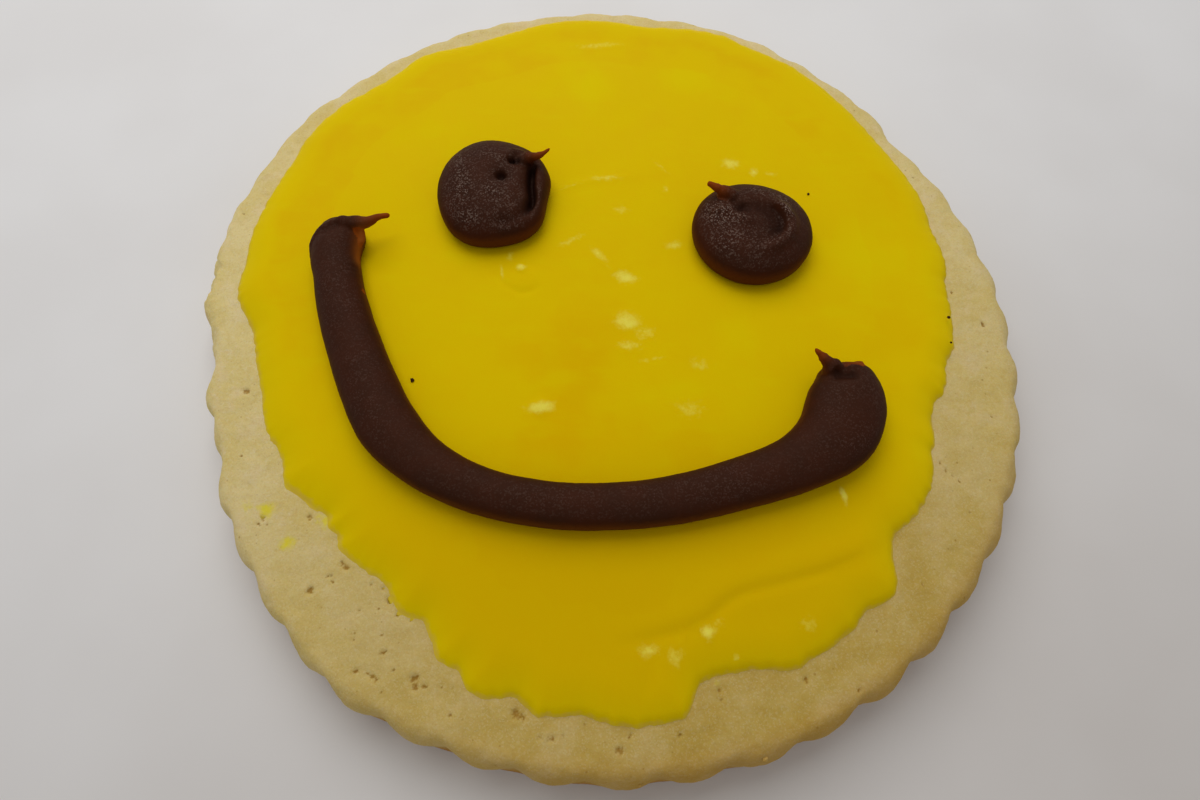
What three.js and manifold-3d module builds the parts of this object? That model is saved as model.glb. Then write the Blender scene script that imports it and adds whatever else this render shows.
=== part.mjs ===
// Iced sugar cookie: a round fluted biscuit, a skin of yellow icing that stops short of its rim,
// and a face piped on it in chocolate icing, which is two dots for eyes and one line for a smile.
//
// Millimetres, +Z up. The origin is the middle of the flat base, on the surface the cookie lies
// on. -Y is the side below the smile, and +X is the side of the smile's short arm.
//
// Every top surface is a height over the plan: biscuitTop() carries the icing, and icingTop()
// carries the piped pieces, each a small GAP above what it rests on.

import * as THREE from 'three';
import { mergeVertices } from 'three/addons/utils/BufferGeometryUtils.js';
import Module from 'manifold-3d';

const wasm = await Module();
wasm.setup();

// ---------------------------------------------------------------- driving dimensions

const GAP = 0.3; // left between pieces that rest on each other

const BISCUIT = {
  radius: 46.5, // mean, out to the tips of the flutes
  // Slow departures from a circle: [lobes round the rim, size, bearing of the first lobe's crest]
  waves: [[2, 1.76, -142], [3, 0.19, 74], [4, 0.44, -100], [5, 0.26, 45]],
  edgeHeight: 7.4, // where the rounded rim meets the top
  crown: 0.9, // rise of the top from there to the middle
  beltHeight: 2.2, // widest level of the side
  footInset: 1.0, // how far the flat base stops inside the widest level
  rimInset: 3.4, // how far in the rim's rounding reaches, on average
  rimLean: [[1, 1.0, 90]], // how that varies round the rim, as waves
  rimPower: 2.2, // 2 is a quarter ellipse, and more is squarer
  lump: 0.12, // unevenness of the top
  lumpSpan: 7, // its scale
  // Rings of the solid: up the rounding as [degrees, share of the flutes' depth], then over the
  // top as shares of the way out
  rimRings: [[28, 1], [50, 0.78], [70, 0.35]],
  topRings: [0.86, 0.64, 0.41],
  innerRing: 0.2,
  footFlutes: 0.45, // share of the flutes' depth at the foot, which spread in the oven
  beltFlutes: 0.75, // and at the widest level
};

const FLUTES = {
  count: 47,
  depth: 1.2, // mean depth of a notch
  softness: 0.16, // how blunt the notches are
  slip: 185, // degrees that the rhythm slips by, across the back
  slipBearing: 75, // middle of the stretch that slips
  slipReach: 50, // half its length
  uneven: [[5, 0.3, 33], [11, 0.25, -25]], // how the depth varies round the rim, as waves
  perLobe: 6, // faces to a flute
};

const ICING = {
  thickness: 1.3, // top of the icing above the biscuit
  lip: 0.35, // upright edge at the very rim of the skin
  edgeInset: 1.6, // how far in its rounded edge reaches
  shoulder: [0.28, 0.82], // the edge's curve passes here, as shares of its inset and height
  columns: 240,
  rings: [0.87, 0.65, 0.41], // rings of the solid, as shares of the way out
  innerRing: 0.19,
  // Where the icing stops: [bearing, radius], in a smooth sweep round the back and in steps and
  // notches along the front
  edge: [
    [0, 37.1], [19, 38.7], [30, 39.0], [50, 40.8], [68, 42.5], [81, 41.5], [97, 42.6],
    [112, 41.6], [123, 42.6], [131, 41.7], [142, 42.3], [160, 40.7], [180, 39.4], [188, 37.1],
    [200, 36.5], [210, 36.4], [214, 37.1], [223, 35.0], [229, 36.7], [236, 36.4], [244, 37.3],
    [255, 41.4], [259, 40.9], [263, 41.9], [279, 42.5], [283, 39.6], [294, 41.3], [305, 40.5],
    [309, 41.1], [316, 37.8], [326, 38.0], [338, 35.6], [351, 37.1],
  ],
};

// A piped dot: middle, mean radius, height, and its departures from a circle as for the biscuit.
// The fold is a groove along part of a ring, and the dish a hollow in the crown. The peak is
// where the nozzle was drawn away, from its root to its tip, with a radius at each.
const EYES = {
  left_eye: {
    centre: [-12.2, 11.45], radius: 6.7, height: 4.4,
    waves: [[2, 0.4, -165], [4, 0.12, 176], [5, 0.1, 155]],
    fold: { ring: 4.7, from: -45, to: 30, depth: 1.1, width: 0.6 },
    dish: { centre: [-9.6, 13.9], radius: 1.9, depth: 0.55 },
    peak: { points: [[-9.4, 13.6, 12.0], [-8.3, 14.2, 13.1], [-7.0, 14.2, 13.85],
      [-5.7, 14.75, 14.4]], radii: [1.4, 0.85, 0.5, 0.14] },
  },
  right_eye: {
    centre: [16.1, 6.0], radius: 6.38, height: 4.4,
    waves: [[2, 0.16, -18], [3, 0.06, 54]],
    fold: { ring: 4.3, from: 100, to: 165, depth: 0.35, width: 0.8 },
    dish: { centre: [17.0, 6.2], radius: 3.6, depth: 0.75 },
    peak: { points: [[14.5, 8.5, 12.1], [13.3, 9.3, 13.2], [12.2, 9.65, 13.8],
      [11.05, 10.05, 14.15]], radii: [1.5, 0.9, 0.55, 0.35] },
  },
};
const DOT = {
  columns: 48,
  footRing: 0.8, // radius of the foot, as a share of the dot's
  flankRing: 0.95, // the flank between the foot and the belt, half way up
  beltHeight: 1.5, // widest level
  crownPower: 2.1,
  foldFade: 12, // degrees over which a fold dies away at its ends
  rings: [0.98, 0.93, 0.87, 0.8, 0.7, 0.57, 0.4, 0.2],
};

const SMILE = {
  // Middle line and width: [x, y, width], from the long arm's end round to the short arm's
  line: [
    [-27.9, 7.3, 4.4], [-28.6, 4.8, 5.7], [-28.45, 2.7, 5.4], [-27.95, 0.7, 5.1],
    [-26.75, -2.9, 5.1], [-23.7, -10.8, 5.6], [-20.4, -16.7, 5.8], [-17.0, -20.0, 5.0],
    [-12.1, -22.6, 4.4], [-6.4, -24.0, 4.3], [0, -24.35, 4.3], [6.9, -23.6, 4.5],
    [13.4, -21.9, 4.9], [18.5, -20.0, 5.7], [22.15, -17.2, 7.4], [23.6, -13.4, 7.2],
    [23.85, -10.0, 4.4],
  ],
  heightBase: 2.2, // the line's height is this, plus a share of its width
  heightShare: 0.28,
  beltShare: 0.42, // widest level, as a share of the height
  footPower: 2.8, // flatter below than above
  roundStart: 1.9, // length over which the long arm's end closes
  roundEnd: 1.0, // the short arm's end is blunter
  endHeight: 0.35, // height left at an end's very tip, as a share
  tipRise: 0.6, // height of the point that closes an end
  crowding: 0.28, // how much the steps crowd towards the ends: 0 is even
  steps: 60,
  sides: 12,
  tails: [
    { points: [[-27.7, 4.6, 11.6], [-26.7, 6.0, 12.1], [-24.9, 6.6, 12.35], [-22.8, 7.25, 12.35]],
      radii: [1.4, 1.05, 0.6, 0.3] },
    { points: [[22.9, -12.6, 11.8], [22.1, -11.4, 12.6], [21.1, -10.5, 13.3],
      [20.1, -9.7, 13.9]], radii: [1.5, 1.05, 0.6, 0.15] },
  ],
};

const HORN = { steps: 5, sides: 8 }; // faces along and round a peak or tail

const BISCUIT_FINISH = { color: 0xdcc68c, roughness: 0.85 };
const YELLOW_FINISH = { color: 0xeccb12, roughness: 0.45 };
const CHOCOLATE_FINISH = { color: 0x43291f, roughness: 0.5 };

// ---------------------------------------------------------------- plan and heights

const radians = THREE.MathUtils.degToRad;
const TURN = 2 * Math.PI;

// Departure from a circle on a bearing, from a list of waves.
function wavy(waves, bearing) {
  return waves.reduce((sum, [lobes, size, crest]) =>
    sum + size * Math.cos(lobes * bearing - radians(crest)), 0);
}

function biscuitRadius(bearing) {
  return BISCUIT.radius + wavy(BISCUIT.waves, bearing);
}

// Bearing of a place counted in flutes round the rim, with the slip at the back worked in.
function fluteBearing(flutes) {
  const even = TURN * (flutes / FLUTES.count);
  const away = (even - radians(FLUTES.slipBearing)) / radians(FLUTES.slipReach);
  const slip = radians(FLUTES.slip) * Math.exp(-(away ** 4));
  return even + (slip - Math.PI) / FLUTES.count;
}

// How far the side stands in from the flutes' tips: nothing on a crest, the depth in a notch.
function fluteInset(flutes, bearing) {
  const notch = 1 - Math.hypot(Math.cos(Math.PI * flutes), FLUTES.softness);
  return FLUTES.depth * (1 + wavy(FLUTES.uneven, bearing)) * Math.max(notch, 0);
}

function rimInset(bearing) {
  return BISCUIT.rimInset + wavy(BISCUIT.rimLean, bearing);
}

function biscuitTop(x, y) {
  const bearing = Math.atan2(y, x);
  const reach = biscuitRadius(bearing) - rimInset(bearing);
  const share = Math.min(Math.hypot(x, y) / reach, 1);
  const [u, v] = [x / BISCUIT.lumpSpan, y / BISCUIT.lumpSpan];
  const lumps = Math.sin(u + 1) * Math.sin(v + 2) + Math.sin(u + v);
  return BISCUIT.edgeHeight + BISCUIT.crown * (1 - share ** 2)
    + BISCUIT.lump * lumps * share * (1 - share ** 8);
}

function icingTop(x, y) {
  return biscuitTop(x, y) + ICING.thickness;
}

// Radius of the icing on a bearing: a curve through ICING.edge that never overshoots its points.
function icingRadius(bearing) {
  const edge = ICING.edge;
  const count = edge.length;
  const degrees = THREE.MathUtils.euclideanModulo(THREE.MathUtils.radToDeg(bearing), 360);
  const after = (i) => [edge[(i + count) % count][0] + 360 * Math.floor(i / count),
    edge[(i + count) % count][1]];
  let i = 0;
  while (after(i + 1)[0] <= degrees) i++;
  const slope = (k) => (after(k + 1)[1] - after(k)[1]) / (after(k + 1)[0] - after(k)[0]);
  const tangent = (k) => {
    const [before, next] = [slope(k - 1), slope(k)];
    return before * next > 0 ? 2 * before * next / (before + next) : 0;
  };
  const [start, end] = [after(i), after(i + 1)];
  const span = end[0] - start[0];
  const t = (degrees - start[0]) / span;
  return start[1] * (1 + 2 * t) * (1 - t) ** 2 + end[1] * t * t * (3 - 2 * t)
    + span * (tangent(i) * t * (1 - t) ** 2 - tangent(i + 1) * t * t * (1 - t));
}

// ---------------------------------------------------------------- skins made of rings

// A ring is a list of [x, y, z] that runs anticlockwise seen from outside its end cap.
function ringOf(count, point) {
  return Array.from({ length: count }, (_, i) => point(i, TURN * (i / count)));
}

// A closed body from rings in order, with a middle point that closes each end. Neighbouring
// rings may have different counts: the band between them takes steps on whichever lags.
function skin(firstMiddle, rings, lastMiddle) {
  const places = [firstMiddle, ...rings.flat(), lastMiddle];
  const faces = [];
  const starts = [];
  rings.reduce((start, ring) => (starts.push(start), start + ring.length), 1);
  rings[0].forEach((_, i) => {
    faces.push(0, starts[0] + (i + 1) % rings[0].length, starts[0] + i);
  });
  for (let r = 0; r + 1 < rings.length; r++) {
    const [lower, upper] = [rings[r].length, rings[r + 1].length];
    let [i, j] = [0, 0];
    while (i < lower || j < upper) {
      const here = starts[r] + i % lower;
      const there = starts[r + 1] + j % upper;
      if (j === upper || (i < lower && (i + 1) / lower <= (j + 1) / upper)) {
        i++;
        faces.push(here, starts[r] + i % lower, there);
      } else {
        j++;
        faces.push(here, starts[r + 1] + j % upper, there);
      }
    }
  }
  const last = rings.length - 1;
  rings[last].forEach((_, i) => {
    const next = (i + 1) % rings[last].length;
    faces.push(places.length - 1, starts[last] + i, starts[last] + next);
  });
  const geometry = new THREE.BufferGeometry();
  geometry.setAttribute('position', new THREE.Float32BufferAttribute(places.flat(), 3));
  geometry.setIndex(faces);
  return geometry;
}

function solid(geometry) {
  const merged = mergeVertices(geometry, 1e-4);
  return new wasm.Manifold(new wasm.Mesh({
    numProp: 3,
    vertProperties: new Float32Array(merged.attributes.position.array),
    triVerts: new Uint32Array(merged.index.array),
  }));
}

// Joins a body and the pieces drawn out of it into one closed body.
function fuse(geometries) {
  const { vertProperties, triVerts, numProp } = geometries.map(solid)
    .reduce((whole, piece) => whole.add(piece)).getMesh();
  const places = [];
  for (let i = 0; i < vertProperties.length; i += numProp) {
    places.push(vertProperties[i], vertProperties[i + 1], vertProperties[i + 2]);
  }
  const geometry = new THREE.BufferGeometry();
  geometry.setAttribute('position', new THREE.Float32BufferAttribute(places, 3));
  geometry.setIndex(Array.from(triVerts));
  return geometry;
}

// ---------------------------------------------------------------- the biscuit

function biscuit() {
  const { edgeHeight, beltHeight, footInset, footFlutes, beltFlutes, rimPower } = BISCUIT;
  const { rimRings, topRings, innerRing } = BISCUIT;
  const columns = FLUTES.count * FLUTES.perLobe;

  // One ring of the fluted side, at an inset by bearing and a height, with a share of the
  // flutes' depth.
  const sideRing = (insetAt, height, share) => ringOf(columns, (i) => {
    const flutes = i / FLUTES.perLobe;
    const bearing = fluteBearing(flutes);
    const notched = share * fluteInset(flutes, bearing);
    const radius = biscuitRadius(bearing) - insetAt(bearing) - notched;
    return [radius * Math.cos(bearing), radius * Math.sin(bearing), height];
  });
  const rounding = (degrees, share) => {
    const drawnIn = 1 - Math.cos(radians(degrees)) ** (2 / rimPower);
    const rise = (edgeHeight - beltHeight) * Math.sin(radians(degrees)) ** (2 / rimPower);
    return sideRing((bearing) => rimInset(bearing) * drawnIn, beltHeight + rise, share);
  };
  const topRing = (count, share) => ringOf(count, (i) => {
    const bearing = fluteBearing(i / count * FLUTES.count);
    const radius = (biscuitRadius(bearing) - rimInset(bearing)) * share;
    const [x, y] = [radius * Math.cos(bearing), radius * Math.sin(bearing)];
    return [x, y, biscuitTop(x, y)];
  });

  const rings = [
    sideRing(() => footInset, 0, footFlutes),
    sideRing(() => footInset / 3, beltHeight / 3, footFlutes),
    sideRing(() => 0, beltHeight, beltFlutes),
    ...rimRings.map(([degrees, share]) => rounding(degrees, share)),
    topRing(columns, 1),
    ...topRings.map((share) => topRing(columns / 3, share)),
    topRing(columns / 6, innerRing),
  ];
  return skin([0, 0, 0], rings, [0, 0, biscuitTop(0, 0)]);
}

// ---------------------------------------------------------------- the yellow icing

function yellowIcing() {
  const { thickness, lip, edgeInset, shoulder, columns, rings, innerRing } = ICING;

  // A ring at a share of the way out, less an inset, at a height above the biscuit.
  const ring = (count, share, inset, rise) => ringOf(count, (_, bearing) => {
    const radius = (icingRadius(bearing) - inset) * share;
    const [x, y] = [radius * Math.cos(bearing), radius * Math.sin(bearing)];
    return [x, y, biscuitTop(x, y) + rise];
  });
  const few = columns / 3;
  const layer = (rise) => [
    ...rings.map((share) => ring(few, share, 0, rise)),
    ring(few / 2, innerRing, 0, rise),
  ];
  return skin([0, 0, biscuitTop(0, 0) + GAP], [
    ...layer(GAP).reverse(),
    ring(columns, 1, 0, GAP),
    ring(columns, 1, 0, GAP + lip),
    ring(columns, 1, edgeInset * shoulder[0], thickness * shoulder[1]),
    ring(columns, 1, edgeInset, thickness),
    ...layer(thickness),
  ], [0, 0, icingTop(0, 0)]);
}

// ---------------------------------------------------------------- the chocolate icing

// A peak or tail: a soft horn along a curve from its root to its tip.
function horn({ points, radii }) {
  const curve = new THREE.CatmullRomCurve3(points.map((p) => new THREE.Vector3(...p)));
  const frames = curve.computeFrenetFrames(HORN.steps, false);
  const rings = Array.from({ length: HORN.steps + 1 }, (_, k) => {
    const along = k / HORN.steps;
    const middle = curve.getPointAt(along);
    const place = along * (radii.length - 1);
    const i = Math.min(Math.floor(place), radii.length - 2);
    const radius = THREE.MathUtils.lerp(radii[i], radii[i + 1], place - i);
    return ringOf(HORN.sides, (_, turn) => middle.clone()
      .addScaledVector(frames.normals[k], radius * Math.cos(turn))
      .addScaledVector(frames.binormals[k], radius * Math.sin(turn)).toArray());
  });
  return skin(points[0], rings, points.at(-1));
}

// A piped dot: a squat dome with its fold and dish, and the peak drawn out of it.
function dot({ centre, radius, height, waves, fold, dish, peak }) {
  const { columns, footRing, flankRing, beltHeight, crownPower, foldFade, rings } = DOT;

  const relief = (out, turn, x, y) => {
    const degrees = THREE.MathUtils.radToDeg(THREE.MathUtils.euclideanModulo(turn, TURN));
    const past = [degrees, degrees - 360].map((d) => Math.max(fold.from - d, d - fold.to, 0));
    const fade = Math.exp(-((Math.min(...past) / foldFade) ** 2));
    const groove = fold.depth * fade * Math.exp(-(((out - fold.ring) / fold.width) ** 2));
    const off = Math.hypot(x - dish.centre[0], y - dish.centre[1]) / dish.radius;
    return -groove - dish.depth * Math.exp(-(off ** 4));
  };
  const place = (turn, share, rise) => {
    const out = (radius + wavy(waves, turn)) * share;
    const [x, y] = [centre[0] + out * Math.cos(turn), centre[1] + out * Math.sin(turn)];
    return [x, y, icingTop(x, y) + GAP + rise + (rise > beltHeight ? relief(out, turn, x, y) : 0)];
  };
  const crown = (share) => beltHeight
    + (height - GAP - beltHeight) * (1 - share ** crownPower) ** (1 / crownPower);
  const body = skin(place(0, 0, 0), [
    ringOf(columns, (_, turn) => place(turn, footRing, 0)),
    ringOf(columns, (_, turn) => place(turn, flankRing, beltHeight / 2)),
    ringOf(columns, (_, turn) => place(turn, 1, beltHeight)),
    ...rings.map((share) => ringOf(columns, (_, turn) => place(turn, share, crown(share)))),
  ], place(0, 0, crown(0)));
  return fuse([body, horn(peak)]);
}

// The smile: a piped line with a flat foot, and the tail drawn out at each end.
function smile() {
  const { line, heightBase, heightShare, beltShare, footPower, roundStart, roundEnd } = SMILE;
  const { endHeight, tipRise, crowding, steps, sides, tails } = SMILE;
  const curve = new THREE.CatmullRomCurve3(line.map(([x, y]) => new THREE.Vector3(x, y, 0)));
  const widths = new THREE.CatmullRomCurve3(line.map(([x, y, w]) => new THREE.Vector3(x, y, w)));
  const length = curve.getLength();

  // Quarter-circle closing of an end: 0 at its tip, 1 once past the rounded length.
  const closing = (away, reach) => {
    const t = Math.min(away / reach, 1);
    return Math.sqrt(1 - (1 - t) ** 2);
  };
  const section = (t) => {
    const along = t * length;
    const end = closing(along, roundStart) * closing(length - along, roundEnd);
    const place = curve.getUtoTmapping(t);
    const width = widths.getPoint(place).z;
    const middle = curve.getPoint(place);
    const ahead = curve.getTangent(place);
    const height = (heightBase + heightShare * width) * (endHeight + (1 - endHeight) * end);
    const belt = height * beltShare;
    return ringOf(sides, (_, turn) => {
      const across = Math.cos(turn);
      const up = Math.sin(turn);
      const squareness = up < 0 ? 2 / footPower : 1;
      const aside = Math.sign(across) * Math.abs(across) ** squareness * end * width / 2;
      const x = middle.x - ahead.y * aside;
      const y = middle.y + ahead.x * aside;
      const reach = up < 0 ? belt : height - GAP - belt;
      const rise = Math.sign(up) * Math.abs(up) ** squareness * reach;
      return [x, y, icingTop(x, y) + GAP + belt + rise];
    });
  };

  // Steps crowd towards both ends, where the line closes.
  const spread = (even) => even - crowding / TURN * Math.sin(TURN * even);
  const inner = Array.from({ length: steps - 1 }, (_, k) => section(spread((k + 1) / steps)));
  const tip = (t) => {
    const at = curve.getPointAt(t);
    return [at.x, at.y, icingTop(at.x, at.y) + GAP + tipRise];
  };
  const body = skin(tip(0), inner, tip(1));
  return fuse([body, ...tails.map(horn)]);
}

// ---------------------------------------------------------------- the cookie

function piece(name, geometry, finish) {
  geometry.computeVertexNormals();
  const material = new THREE.MeshStandardMaterial({ ...finish, metalness: 0 });
  const mesh = new THREE.Mesh(geometry, material);
  mesh.name = name;
  return mesh;
}

const cookie = new THREE.Group();
cookie.add(
  piece('biscuit', biscuit(), BISCUIT_FINISH),
  piece('yellow_icing', yellowIcing(), YELLOW_FINISH),
  piece('left_eye', dot(EYES.left_eye), CHOCOLATE_FINISH),
  piece('right_eye', dot(EYES.right_eye), CHOCOLATE_FINISH),
  piece('smile', smile(), CHOCOLATE_FINISH),
);

export default cookie;
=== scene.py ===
"""Iced sugar cookie: a fluted biscuit, a skin of poured yellow icing, and a face piped on it in
chocolate icing. It is laid out as a Blender add-on with one operator for each piece.

Sizes in the tables are millimetres, and MM turns them to the metres that every mesh is in.
+Z is up, the origin is the middle of the flat base, and -Y is the side below the smile.
"""

import math

import bmesh
import bpy
import numpy as np
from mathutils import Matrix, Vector, noise
from mathutils.kdtree import KDTree


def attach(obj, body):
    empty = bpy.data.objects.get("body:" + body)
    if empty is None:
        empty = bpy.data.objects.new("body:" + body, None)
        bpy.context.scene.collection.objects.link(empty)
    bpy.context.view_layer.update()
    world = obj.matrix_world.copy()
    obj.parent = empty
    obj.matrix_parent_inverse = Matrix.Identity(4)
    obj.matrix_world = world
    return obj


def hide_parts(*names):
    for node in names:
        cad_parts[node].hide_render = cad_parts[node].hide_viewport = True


bl_info = {
    "name": "Iced Sugar Cookie",
    "version": (1, 0, 0),
    "blender": (4, 5, 0),
    "location": "View3D > Sidebar > Cookie",
    "description": "A fluted biscuit with poured yellow icing and a face in chocolate icing",
    "category": "Add Mesh",
}

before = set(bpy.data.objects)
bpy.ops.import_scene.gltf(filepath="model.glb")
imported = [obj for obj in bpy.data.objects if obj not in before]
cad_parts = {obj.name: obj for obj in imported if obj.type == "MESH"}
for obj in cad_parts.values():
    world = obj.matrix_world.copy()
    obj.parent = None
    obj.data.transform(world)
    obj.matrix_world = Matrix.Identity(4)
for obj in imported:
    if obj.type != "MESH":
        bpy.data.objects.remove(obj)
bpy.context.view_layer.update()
BODY = "root"
MM = 0.001
TURN = 2 * math.pi

# ---------------------------------------------------------------- sizes, in millimetres

BISCUIT = {
    "radius": 46.35,
    # Slow departures from a circle: (lobes round the rim, size, bearing of the first crest)
    "waves": [(2, 1.76, -142), (3, 0.19, 74), (4, 0.44, -100), (5, 0.26, 45)],
    "edge_height": 7.4,
    "crown": 0.9,
    # The side is upright at the front and leans in more at the back, as waves round the rim.
    "belt_height": 2.9,
    "belt_lean": [(1, 1.1, 270)],
    "foot_inset": 0.5,
    "foot_lean": [(1, -0.62, 256)],  # the foot spread outwards at the front
    "foot_power": 2.4,
    "rim_inset": 2.9,
    "rim_lean": [(1, 0.8, 80)],
    "rim_power": 2.2,
    "lump": 0.12,
    "lump_span": 7,
    # Share of the flutes' depth by height. The foot spread in the oven, so it is notched less.
    "flute_share": [(0, 0.2), (0.8, 0.25), (2.0, 0.6), (3.2, 0.95), (4.4, 1.0), (5.4, 0.9),
                    (6.2, 0.66), (6.9, 0.3), (7.4, 0)],
    # Swellings and dents of the outline: (bearing, size, half-width in degrees)
    "dents": [(13, 0.1, 5), (31.5, -0.65, 4.5), (40, 0.45, 5), (49, 0.2, 5), (57, 0.3, 5),
              (64, 0.45, 3.5), (81, -0.35, 5), (112, 0.42, 9), (136, -0.4, 6), (152, -0.5, 6),
              (159, -0.45, 3.5), (180, 0.42, 3.5), (188.5, -0.9, 4.5), (204, -0.75, 3.5),
              (210, 0.1, 3), (222, -0.1, 5), (239, 0.35, 5), (258, -0.2, 9), (281, -0.25, 7),
              (298, -0.35, 8), (314, -0.3, 9), (330, -0.15, 6), (345, -0.3, 3.5),
              (353.5, -0.35, 3)],
    "torn_at": (177, 11),  # where the cutter tore the edge: bearing, half-width in degrees
    "torn_depth": 0.45,
    "torn_band": (-4.5, -1.0),  # where the tear starts and is full, measured from the outline
    "porous_at": (222, 45),  # where the pores crowd: bearing, half-width in degrees
    "pores": (0.1, 0.3, 0.45),  # their share everywhere, more there, more beside the icing there
    "beside": 3.0,  # how far from the icing that last share reaches
    "foot_band": (3.6, 0.8),  # heights where the foot's browning starts and is full
    "foot_bake": 0.9,
    "rim_band": (-3.6, -0.4),  # where the rim's browning and painted shade start and are full, from the outline
    "per_lobe": 26,
    "foot_shares": [0.25, 0.6, 0.9],
    "foot_thinning": 4,  # the base has one column for so many of the side's
    "side_rings": 8,
    "seen_after": 3,  # rings up to where the side is wholly in sight
    "rim_rings": 18,
    "top_rings": 42,
    "seen_share": 0.765,  # the top is fine from here outwards, and plain under the icing
    "hidden_shares": [0.6, 0.35, 0.15],
    "hidden_thinning": 8,
}

FLUTES = {
    "count": 47,
    "slip": 185,
    "slip_bearing": 75,
    "slip_reach": 50,
    # How deep the flutes are round the rim: (bearing, share of the full depth)
    "depth": [(0, 0.9), (15, 1.15), (30, 0.85), (45, 1.0), (63, 1.7), (75, 1.0), (90, 1.2),
              (105, 1.25), (118, 1.05), (150, 1.05), (165, 0.75), (176, 0.45), (186, 0.65),
              (195, 1.15), (205, 1.05), (216, 0.85), (232, 0.85), (245, 0.72), (258, 0.65),
              (290, 0.7), (305, 0.8), (322, 0.88), (340, 0.75)],
    "odd": 0.12,  # how much single flutes differ in depth
    "odd_seed": 47,
}

# How far the top is baked, with painted shade towards the front, by bearing: (bearing, share)
FRONT_BAKE_AND_SHADE = [(0, 0.26), (25, 0.16), (60, 0.12), (120, 0.18), (150, 0.08), (180, 0.0),
              (203, 0.1), (228, 0.36), (250, 0.68), (280, 0.88), (310, 0.86), (335, 0.5)]
# How much further the rim itself is browned, with painted shade, at the front: (bearing, share)
RIM_BAKE_AND_SHADE = [(20, 0.0), (228, 0.0), (250, 0.1), (265, 0.28), (280, 0.4), (325, 0.36), (340, 0.15)]

# Pits that show in the baked top: (x, y, radius)
PITS = [
    (-36.7, -11.3, 0.4), (-35.8, -11.9, 0.14), (-32.5, -24.6, 0.3), (-32.7, -25.2, 0.25),
    (-26.4, -23.5, 0.25), (-25.9, -23.5, 0.25), (-25.4, -23.9, 0.25), (-24.7, -25.8, 0.25),
    (-28.0, -24.5, 0.25), (-24.2, -29.0, 0.28), (-23.8, -29.3, 0.28), (-26.9, -31.3, 0.42),
    (-21.2, -30.9, 0.22), (-19.4, -32.3, 0.22), (-20.1, -31.3, 0.22), (-22.0, -33.0, 0.2),
    (-21.7, -38.2, 0.32), (-20.3, -38.6, 0.3), (-19.9, -38.9, 0.25), (-16.5, -38.8, 0.42),
    (-16.3, -39.5, 0.4), (-18.4, -33.4, 0.25), (-32.7, -19.8, 0.18), (-22.5, -35.1, 0.2),
    (-22.3, -35.7, 0.2), (-19.3, -36.7, 0.25), (-18.5, -38.0, 0.22), (-7.6, -41.6, 0.42),
    (-7.1, -41.9, 0.4), (-10.4, -41.3, 0.2), (-5.4, -43.5, 0.3), (-4.4, -43.6, 0.28),
    (-3.4, -43.3, 0.2), (-1.5, -42.3, 0.2), (1.3, -44.4, 0.38), (2.2, -43.4, 0.26),
    (3.2, -42.3, 0.2), (6.4, -43.2, 0.22), (10.0, -39.7, 0.26), (10.1, -40.5, 0.22),
    (23.9, -32.4, 0.2), (29.2, -30.8, 0.18), (22.1, -39.7, 0.22), (17.5, -38.9, 0.3),
    (33.0, -19.2, 0.16), (33.5, -19.9, 0.16), (34.1, -20.4, 0.16), (34.6, -21.0, 0.16),
    (36.7, -17.6, 0.16), (38.3, 0.6, 0.22), (40.9, -3.4, 0.25), (36.9, -6.2, 0.25),
]

# Icing smeared on the dough: (x, y, radius, strength)
SMEARS = [(-32.2, -23.8, 0.85, 0.95), (-29.6, -27.0, 0.8, 0.95), (-34.1, -23.5, 1.0, 0.4),
          (9.6, -39.1, 0.5, 0.35), (-26.2, -24.7, 1.3, 0.75)]

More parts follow.
